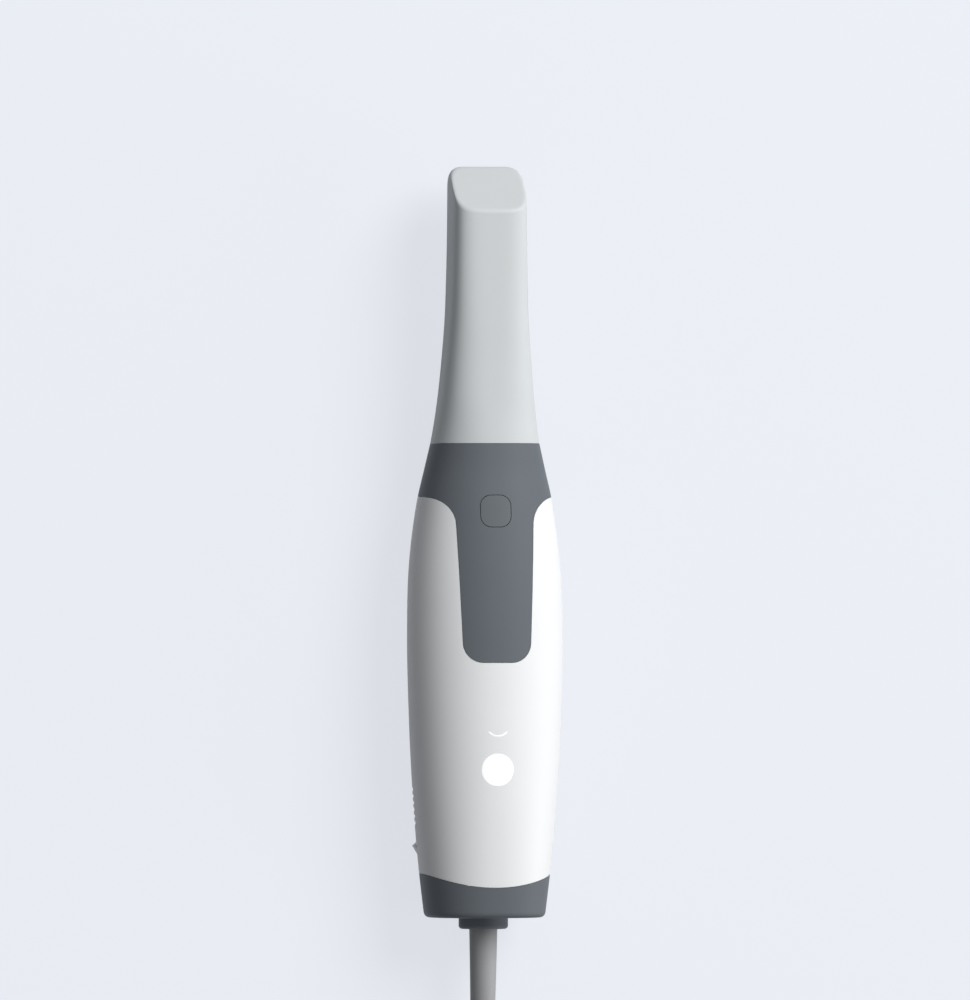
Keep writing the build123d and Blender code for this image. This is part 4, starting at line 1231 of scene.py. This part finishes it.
    def vents(self) -> Solid:
        """Cutter of the upright vent slots in both flanks.

        Returns:
            The cutter.
        """
        start = (SIZES.width / 2, self.vent_start + self.vent_width / 2, self.vent_top - self.vent_height / 2)
        return self.repeats.grow("vent_slots", self.repeats.boxes, Count=self.vent_count, Start=start,
                                 Step=(0.0, self.vent_pitch, 0.0), Mirror=(-1.0, 1.0, 1.0),
                                 Size=(self.vent_reach, self.vent_width, self.vent_height))

    def catch(self, side: int) -> Solid:
        """Small wedge on one flank, steep towards the tip.

        Args:
            side: 1 for the right flank, -1 for the left one.

        Returns:
            The wedge.
        """
        front, flank = self.catch_start + self.catch_length, self.catch_flank
        outline = [(flank - self.catch_root, self.catch_start), (flank - self.catch_heel, self.catch_start),
                   (flank + self.catch_rise, front - self.catch_front), (flank - self.catch_toe, front),
                   (flank - self.catch_root, front)]
        top = SIZES.parting - self.catch_drop
        return prism("catch", [(side * x, y) for x, y in outline][::side], top - self.catch_height, top)

    def build(self) -> None:
        """Builds all pieces of the housing."""
        outer = self.outside("outer")
        self.collar(outer)
        self.cap(outer)
        self.shells(outer)


@dataclass
class ScanButton:
    """The round-cornered scan button with the stem that reaches the switch's plunger."""

    shelf: MaterialShelf
    housing: Housing
    low: float = 33.6
    stem_radius: float = 1.9
    overlap: float = 0.8
    stem_gap: float = 0.04

    def build(self) -> None:
        """Builds the button."""
        pad = self.housing.flush(prism("scan_pad", SIZES.button_outline(0.0), self.low, SIZES.far))
        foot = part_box("scan_button")[0][2] / MM + self.stem_gap
        ring = circle(self.stem_radius, 0.0, SIZES.button_place)
        combine(pad, prism("stem", ring, foot, self.low + self.overlap), "UNION")
        self.shelf.dress(pad, Slot.BUTTON, BUTTON, "scan_button", crease=40.0)


@dataclass
class Indicators:
    """The lit disc and the curved light bar."""

    shelf: MaterialShelf
    housing: Housing
    disc_gap: float = 0.05
    low: float = 36.2

    def build(self) -> None:
        """Builds both light guides' visible ends, flush with the shell."""
        housing = self.housing
        radius = housing.disc_radius - self.disc_gap
        outline = circle(radius, 0.0, housing.disc_place, housing.disc_steps)
        disc = prism("lit_disc", outline, self.low, SIZES.far)
        bar = housing.bar_cutter("light_bar", 0.0, self.low)
        for piece, node in ((disc, "disc_light_guide"), (bar, "bar_light_guide")):
            self.shelf.dress(housing.flush(piece), Slot.GUIDE, HANDLE, node, crease=40.0)


@dataclass
class TipSleeve:
    """The pull-off tip with its slanted end and scanning window."""

    shelf: MaterialShelf
    wall: float = 1.4
    gap: float = 0.06
    pivot: float = 104.0
    axis_height: float = 20.0
    window_half: float = 8.0
    window_rear: float = 101.3
    window_front: float = 114.8
    window_radius: float = 3.0

    def build(self) -> None:
        """Builds the sleeve."""
        rings = Rings(SIZES.seam + self.gap, self.pivot, self.axis_height, fan=84, front_fan=True)
        sleeve = rings.body("tip_sleeve", TipField())
        rings = Rings(SIZES.seam - SIZES.clear, self.pivot, self.axis_height, around=140, pitch=2.4,
                      fan=48, front_fan=True)
        combine(sleeve, rings.body("hollow", TipField(inset=self.wall)))
        window = rectangle(-self.window_half, self.window_rear, self.window_half, self.window_front,
                           self.window_radius)
        combine(sleeve, prism("window", window, -SIZES.far, SIZES.depth / 2))
        self.shelf.dress(sleeve, Slot.TIP, TIP, "tip_shell")


# Cable

@dataclass(frozen=True)
class Shift:
    """One move of the folded cable to its next place: when it starts, and its new radius and layer."""

    start: int
    radius: float
    layer: int


@dataclass
class Boot:
    """The tapered rubber sleeve that follows the cable out of the gland, in millimetres."""

    shelf: MaterialShelf
    start: float = -121.2
    end: float = -148.7
    root_radius: float = 4.55
    end_radius: float = 3.98
    bore: float = 3.3
    end_round: float = 0.5
    around: int = 56
    rows: int = 49

    def radius(self, share: float) -> float:
        """Outer radius at a share of the sleeve's length, rounded off at its end.

        Args:
            share: The share, 0 at the gland.

        Returns:
            The radius.
        """
        left = min((1.0 - share) * (self.start - self.end), self.end_round)
        drop = self.end_round - math.sqrt(self.end_round ** 2 - (self.end_round - left) ** 2)
        return self.root_radius + (self.end_radius - self.root_radius) * share - drop

    def route(self, cable: Solid) -> np.ndarray:
        """The cable's line over the sleeve, in points that lie closer towards its end.

        Args:
            cable: The cable's curve.

        Returns:
            One row a point.
        """
        depth, cable.data.bevel_depth = cable.data.bevel_depth, 0.0
        line = evaluated_mesh(cable)
        cable.data.bevel_depth = depth
        route = np.array([vertex.co for vertex in line.vertices]) / MM
        bpy.data.meshes.remove(line)
        route = route[: int(np.argmax(route[:, 1] < 2 * self.end - self.start))]
        places = self.start + (self.end - self.start) * self.shares()
        return np.column_stack([np.interp(-places, -route[:, 1], route[:, axis]) for axis in range(3)])

    def shares(self) -> np.ndarray:
        """Share of the length of each row."""
        return np.sin(np.linspace(0.0, math.pi / 2.0, self.rows))

    def build(self, cable: Solid) -> Solid:
        """Builds the sleeve along the cable's own line.

        Args:
            cable: The cable's curve.

        Returns:
            The piece.
        """
        path = self.route(cable)
        heading = np.gradient(path, axis=0)
        heading /= np.linalg.norm(heading, axis=1)[:, None]
        side = np.cross(heading, (0.0, 0.0, 1.0))
        side /= np.linalg.norm(side, axis=1)[:, None]
        rise = np.cross(side, heading)
        turn = np.arange(self.around) * 2.0 * math.pi / self.around
        rings = [(row, self.radius(share)) for row, share in enumerate(self.shares())]
        rings += [(row, self.bore) for row in reversed(range(self.rows))]
        points = [path[row] + radius * (side[row] * math.cos(angle) + rise[row] * math.sin(angle))
                  for row, radius in rings for angle in turn]
        faces = [tuple(corner % len(points) for corner in reversed(face))
                 for face in wall_faces(len(rings) + 1, self.around)]
        sleeve = new_solid("boot", points, faces)
        return self.shelf.dress(sleeve, Slot.CABLE, HANDLE, "strain_relief", crease=50.0)


@dataclass
class Strap:
    """The stitches along both edges of the strap round the hank's left run, in millimetres."""

    shelf: MaterialShelf
    repeats: Repeats
    middle: float = -230.4
    left: float = -29.25
    right: float = -16.25
    shoulder: float = 19.0
    top: float = 26.8
    thickness: float = 0.8
    run: float = 6.5
    corner: float = 1.3
    stitch_inset: float = 4.9
    stitch_pitch: float = 2.1
    thread: float = 0.22
    stretch: float = 3.2

    def build(self) -> Solid:
        """Builds the stitches.

        Returns:
            The piece.
        """
        left, right, top = self.left - self.thickness, self.right + self.thickness, self.top + self.thickness
        corners = [(left, 0.0), (right, 0.0), (right, top), (right - self.run - self.thickness, top),
                   (left, self.shoulder + self.thickness / 2)]
        outline = rounded_outline(corners, [self.corner + self.thickness] * len(corners), steps=6)
        rows = [[(x, self.middle + inset, max(z, self.thread)) for x, z in outline]
                for inset in (-self.stitch_inset, self.stitch_inset)]
        stitches = self.repeats.grow("tie_stitches", self.repeats.stitches, rows, Pitch=self.stitch_pitch,
                                     Thread=self.thread, Stretch=self.stretch, Seed=7)
        return self.shelf.dress(stitches, Slot.CABLE, HANDLE, crease=60.0)


@dataclass
class Plug:
    """The plug's moulding with its neck, metal shell and contacts, in millimetres."""

    shelf: MaterialShelf
    repeats: Repeats
    rear: tuple[float, float, float]
    end: tuple[float, float, float]
    neck: float = 8.0
    neck_radii: tuple[float, float] = (3.4, 3.7)
    neck_steps: int = 64
    groove: float = 0.45
    groove_pitch: float = 1.8
    grip_length: float = 24.0
    grip_width: float = 15.0
    grip_height: float = 7.6
    grip_radius: float = 2.4
    grip_steps: int = 40
    end_round: float = 0.9
    waist: float = 0.5
    grip_lines: int = 5
    line_pitch: float = 1.9
    line_radius: float = 0.45
    line_length: float = 9.0
    can_width: float = 12.0
    can_height: float = 4.5
    can_length: float = 18.6
    can_wall: float = 0.4
    window: float = 2.1
    window_side: float = 2.7
    window_place: float = 9.2
    contact_width: float = 1.1
    contact_pitch: float = 2.3
    contact_length: float = 13.0
    contact_thickness: float = 0.16
    contact_proud: float = 0.02
    tongue_drop: float = 1.8

    def place(self) -> Matrix:
        """From the plug's own frame, along Y, to the shared frame, in metres.

        Returns:
            The matrix.
        """
        heading = (Vector(self.end) - Vector(self.rear)).normalized()
        across = heading.cross(Vector((0.0, 0.0, 1.0)))
        turn = Matrix((across, heading, Vector((0.0, 0.0, 1.0)))).transposed().to_4x4()
        return Matrix.Translation(Vector(self.end) * MM) @ turn

    @staticmethod
    def outline(width: float, height: float, radius: float) -> Outline:
        """A rounded rectangle round the plug's axis."""
        return rectangle(-width / 2, -height / 2, width / 2, height / 2, radius, steps=8)

    def grip(self) -> Solid:
        """The grip, a little waisted and rounded at its ends.

        Returns:
            The grip.
        """
        sections = []
        for step in range(self.grip_steps + 1):
            share = step / self.grip_steps
            place = self.grip_length * (1 - math.cos(math.pi * share)) / 2
            inset = min(place, self.grip_length - place, self.end_round)
            pinch = self.end_round - math.sqrt(max(0.0, self.end_round ** 2 - (self.end_round - inset) ** 2))
            width = self.grip_width - 2 * pinch - 2 * self.waist * math.sin(math.pi * share) ** 2
            sections.append((self.neck + place, self.outline(width, self.grip_height - 2 * pinch,
                                                             self.grip_radius - pinch / 2)))
        return drawn("plug_moulding", sections)

    def moulding(self) -> Solid:
        """The grip with its finger grooves and its grooved neck.

        Returns:
            The moulding.
        """
        grip = self.grip()
        rings = []
        for share in np.linspace(0.0, 1.0, self.neck_steps + 1):
            radius = self.neck_radii[0] + (self.neck_radii[1] - self.neck_radii[0]) * share
            wave = math.cos(2 * math.pi * share * self.neck / self.groove_pitch + math.pi)
            ring = circle(radius - self.groove * max(0.0, wave) ** 2, 0.0, 0.0, 48)
            rings.append((share * (self.neck + self.end_round), ring))
        combine(grip, drawn("neck", rings), "UNION")
        first = self.neck + (self.grip_length - (self.grip_lines - 1) * self.line_pitch) / 2
        lines = self.repeats.grow("grip_lines", self.repeats.bars, Count=self.grip_lines,
                                  Start=(0.0, first, self.grip_height / 2), Step=(0.0, self.line_pitch, 0.0),
                                  Mirror=(1.0, 1.0, -1.0), Radius=self.line_radius, Depth=self.line_length)
        combine(grip, lines)
        return grip

    def can(self) -> Solid:
        """The folded metal shell with its two latch windows on either side.

        Returns:
            The shell.
        """
        start = self.neck + self.grip_length
        outer = self.outline(self.can_width, self.can_height, 2 * self.can_wall)
        inner = self.outline(self.can_width - 2 * self.can_wall, self.can_height - 2 * self.can_wall,
                             self.can_wall)
        can = drawn("plug_can", [(start, outer), (start + self.can_length, outer)])
        combine(can, drawn("hollow", [(start + self.can_wall, inner), (start + 2 * self.can_length, inner)]))
        windows = self.repeats.grow("windows", self.repeats.boxes, Count=1, Step=(0.0, 0.0, 0.0),
                                    Start=(self.window_side, start + self.window_place, 0.0),
                                    Mirror=(-1.0, 1.0, 1.0),
                                    Size=(self.window, self.window, 2 * self.can_height))
        combine(can, windows)
        return can

    def contacts(self) -> Solid:
        """The four contacts on the tongue's face.

        Returns:
            The contacts.
        """
        along = self.neck + self.grip_length + self.can_wall + self.contact_length / 2
        face = self.can_height / 2 - self.can_wall - self.tongue_drop
        height = face - self.contact_thickness / 2 + self.contact_proud
        return self.repeats.grow("plug_contacts", self.repeats.boxes, Count=2, Mirror=(-1.0, 1.0, 1.0),
                                 Start=(self.contact_pitch / 2, along, height),
                                 Step=(self.contact_pitch, 0.0, 0.0),
                                 Size=(self.contact_width, self.contact_length, self.contact_thickness))

    def build(self) -> list[Solid]:
        """Builds the plug's pieces.

        Returns:
            The pieces.
        """
        rows = ((self.contacts(), Slot.STEEL, ()), (self.moulding(), Slot.GLAND, ("plug_grip",)),
                (self.can(), Slot.STEEL, ("plug_shell",)))
        for piece, slot, nodes in rows:
            piece.data.transform(self.place())
            self.shelf.dress(piece, slot, HANDLE, *nodes, crease=35.0)
        return [piece for piece, _, _ in rows]


@dataclass
class CableSet:
    """The cable with its hank, tie and plug, in millimetres."""

    shelf: MaterialShelf
    repeats: Repeats
    diameter: float = 6.5
    stated_length: float = 1.60
    lead: tuple = ((0.0, -116.0, 16.5), (0.0, -148.5, 16.5), (1.0, -167.3, 7.6),
                   (9.4, -182.3, 4.05), (18.4, -191.3, 4.05))
    tail: tuple = ((26.0, -234.0, 23.55), (26.0, -268.0, 23.55), (21.5, -296.5, 3.8),
                   (16.5, -319.0, 3.8))
    hank_front: float = -209.65
    hank_rear: float = -251.15
    first_radius: float = 26.0
    first_height: float = 4.05
    shifts: tuple = (Shift(9, 19.5, 0), Shift(20, 19.5, 1), Shift(31, 26.0, 1), Shift(42, 26.0, 2),
                     Shift(53, 19.5, 2), Shift(64, 19.5, 3), Shift(70, 26.0, 3))
    shift_shares: tuple = (0.3, 0.78, 1.0)
    turn_angles: tuple = (18.0, None, -18.0, -54.0, -90.0, -126.0, -162.0, None, 162.0, 126.0, 90.0, 54.0)
    last_point: int = 72

    def _place(self, index: int) -> tuple[float, float]:
        """Radius and height of the folded cable at one of its points.

        Args:
            index: The point's number along the hank.

        Returns:
            Turn radius and height, in millimetres.
        """
        radius, layer = self.first_radius, 0.0
        for shift in self.shifts:
            if index >= shift.start:
                share = self.shift_shares[min(index - shift.start, len(self.shift_shares) - 1)]
                radius += (shift.radius - radius) * share
                layer += (shift.layer - layer) * share
        return radius, self.first_height + layer * self.diameter

    def hank_points(self) -> list[tuple[float, float, float]]:
        """The hank's control points, twelve to a turn, clockwise seen from above.

        Returns:
            The points, in millimetres.
        """
        spread = 1.0 / math.cos(math.radians(self.turn_angles[0]))
        points = []
        for index in range(self.last_point + 1):
            angle = self.turn_angles[index % len(self.turn_angles)]
            radius, height = self._place(index)
            if angle is None:
                side = 1.0 if index % len(self.turn_angles) == 1 else -1.0
                points.append((side * radius, (self.hank_front + self.hank_rear) / 2.0, height))
                continue
            turned = math.radians(angle)
            centre = self.hank_front if angle > 0.0 else self.hank_rear
            points.append((radius * spread * math.cos(turned),
                           centre + radius * spread * math.sin(turned), height))
        return points

    def cord(self) -> Solid:
        """The whole cable as one smooth spline.

        Returns:
            The curve object.
        """
        curve = bpy.data.curves.new("cable", "CURVE")
        curve.dimensions = "3D"
        curve.bevel_depth = self.diameter * MM / 2.0
        curve.bevel_resolution = 6
        curve.resolution_u = 8
        curve.use_fill_caps = True
        spline = set_points(curve.splines.new("NURBS"), [*self.lead, *self.hank_points(), *self.tail])
        spline.order_u = 3
        spline.use_endpoint_u = True
        curve.materials.append(self.shelf.materials[Slot.CABLE])
        return linked("cable", curve)

    def build(self) -> None:
        cable = self.cord()
        boot = Boot(self.shelf).build(cable)
        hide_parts("cable_lead", "cable_coil", "cable_tail")
        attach(cable, HANDLE)
        strap = Strap(self.shelf, self.repeats).build()
        plug = Plug(self.shelf, self.repeats, *self.tail[-2:]).build()
        LOG.info("cable with its folded hank")


def main() -> None:
    """Builds the scene."""
    logging.basicConfig(level=logging.INFO, format="%(name)s: %(message)s")
    studio = Studio()
    studio.camera()
    studio.lights()
    studio.world()
    studio.floor()
    bpy.context.scene.view_settings.view_transform = "Standard"
    shelf = MaterialShelf(EffectLibrary())
    shelf.dress_nodes()
    repeats = Repeats()
    CableSet(shelf, repeats).build()
    housing = Housing(shelf, repeats)
    housing.build()
    TipSleeve(shelf).build()
    ScanButton(shelf, housing).build()
    Indicators(shelf, housing).build()


if __name__ == "__main__":
    main()
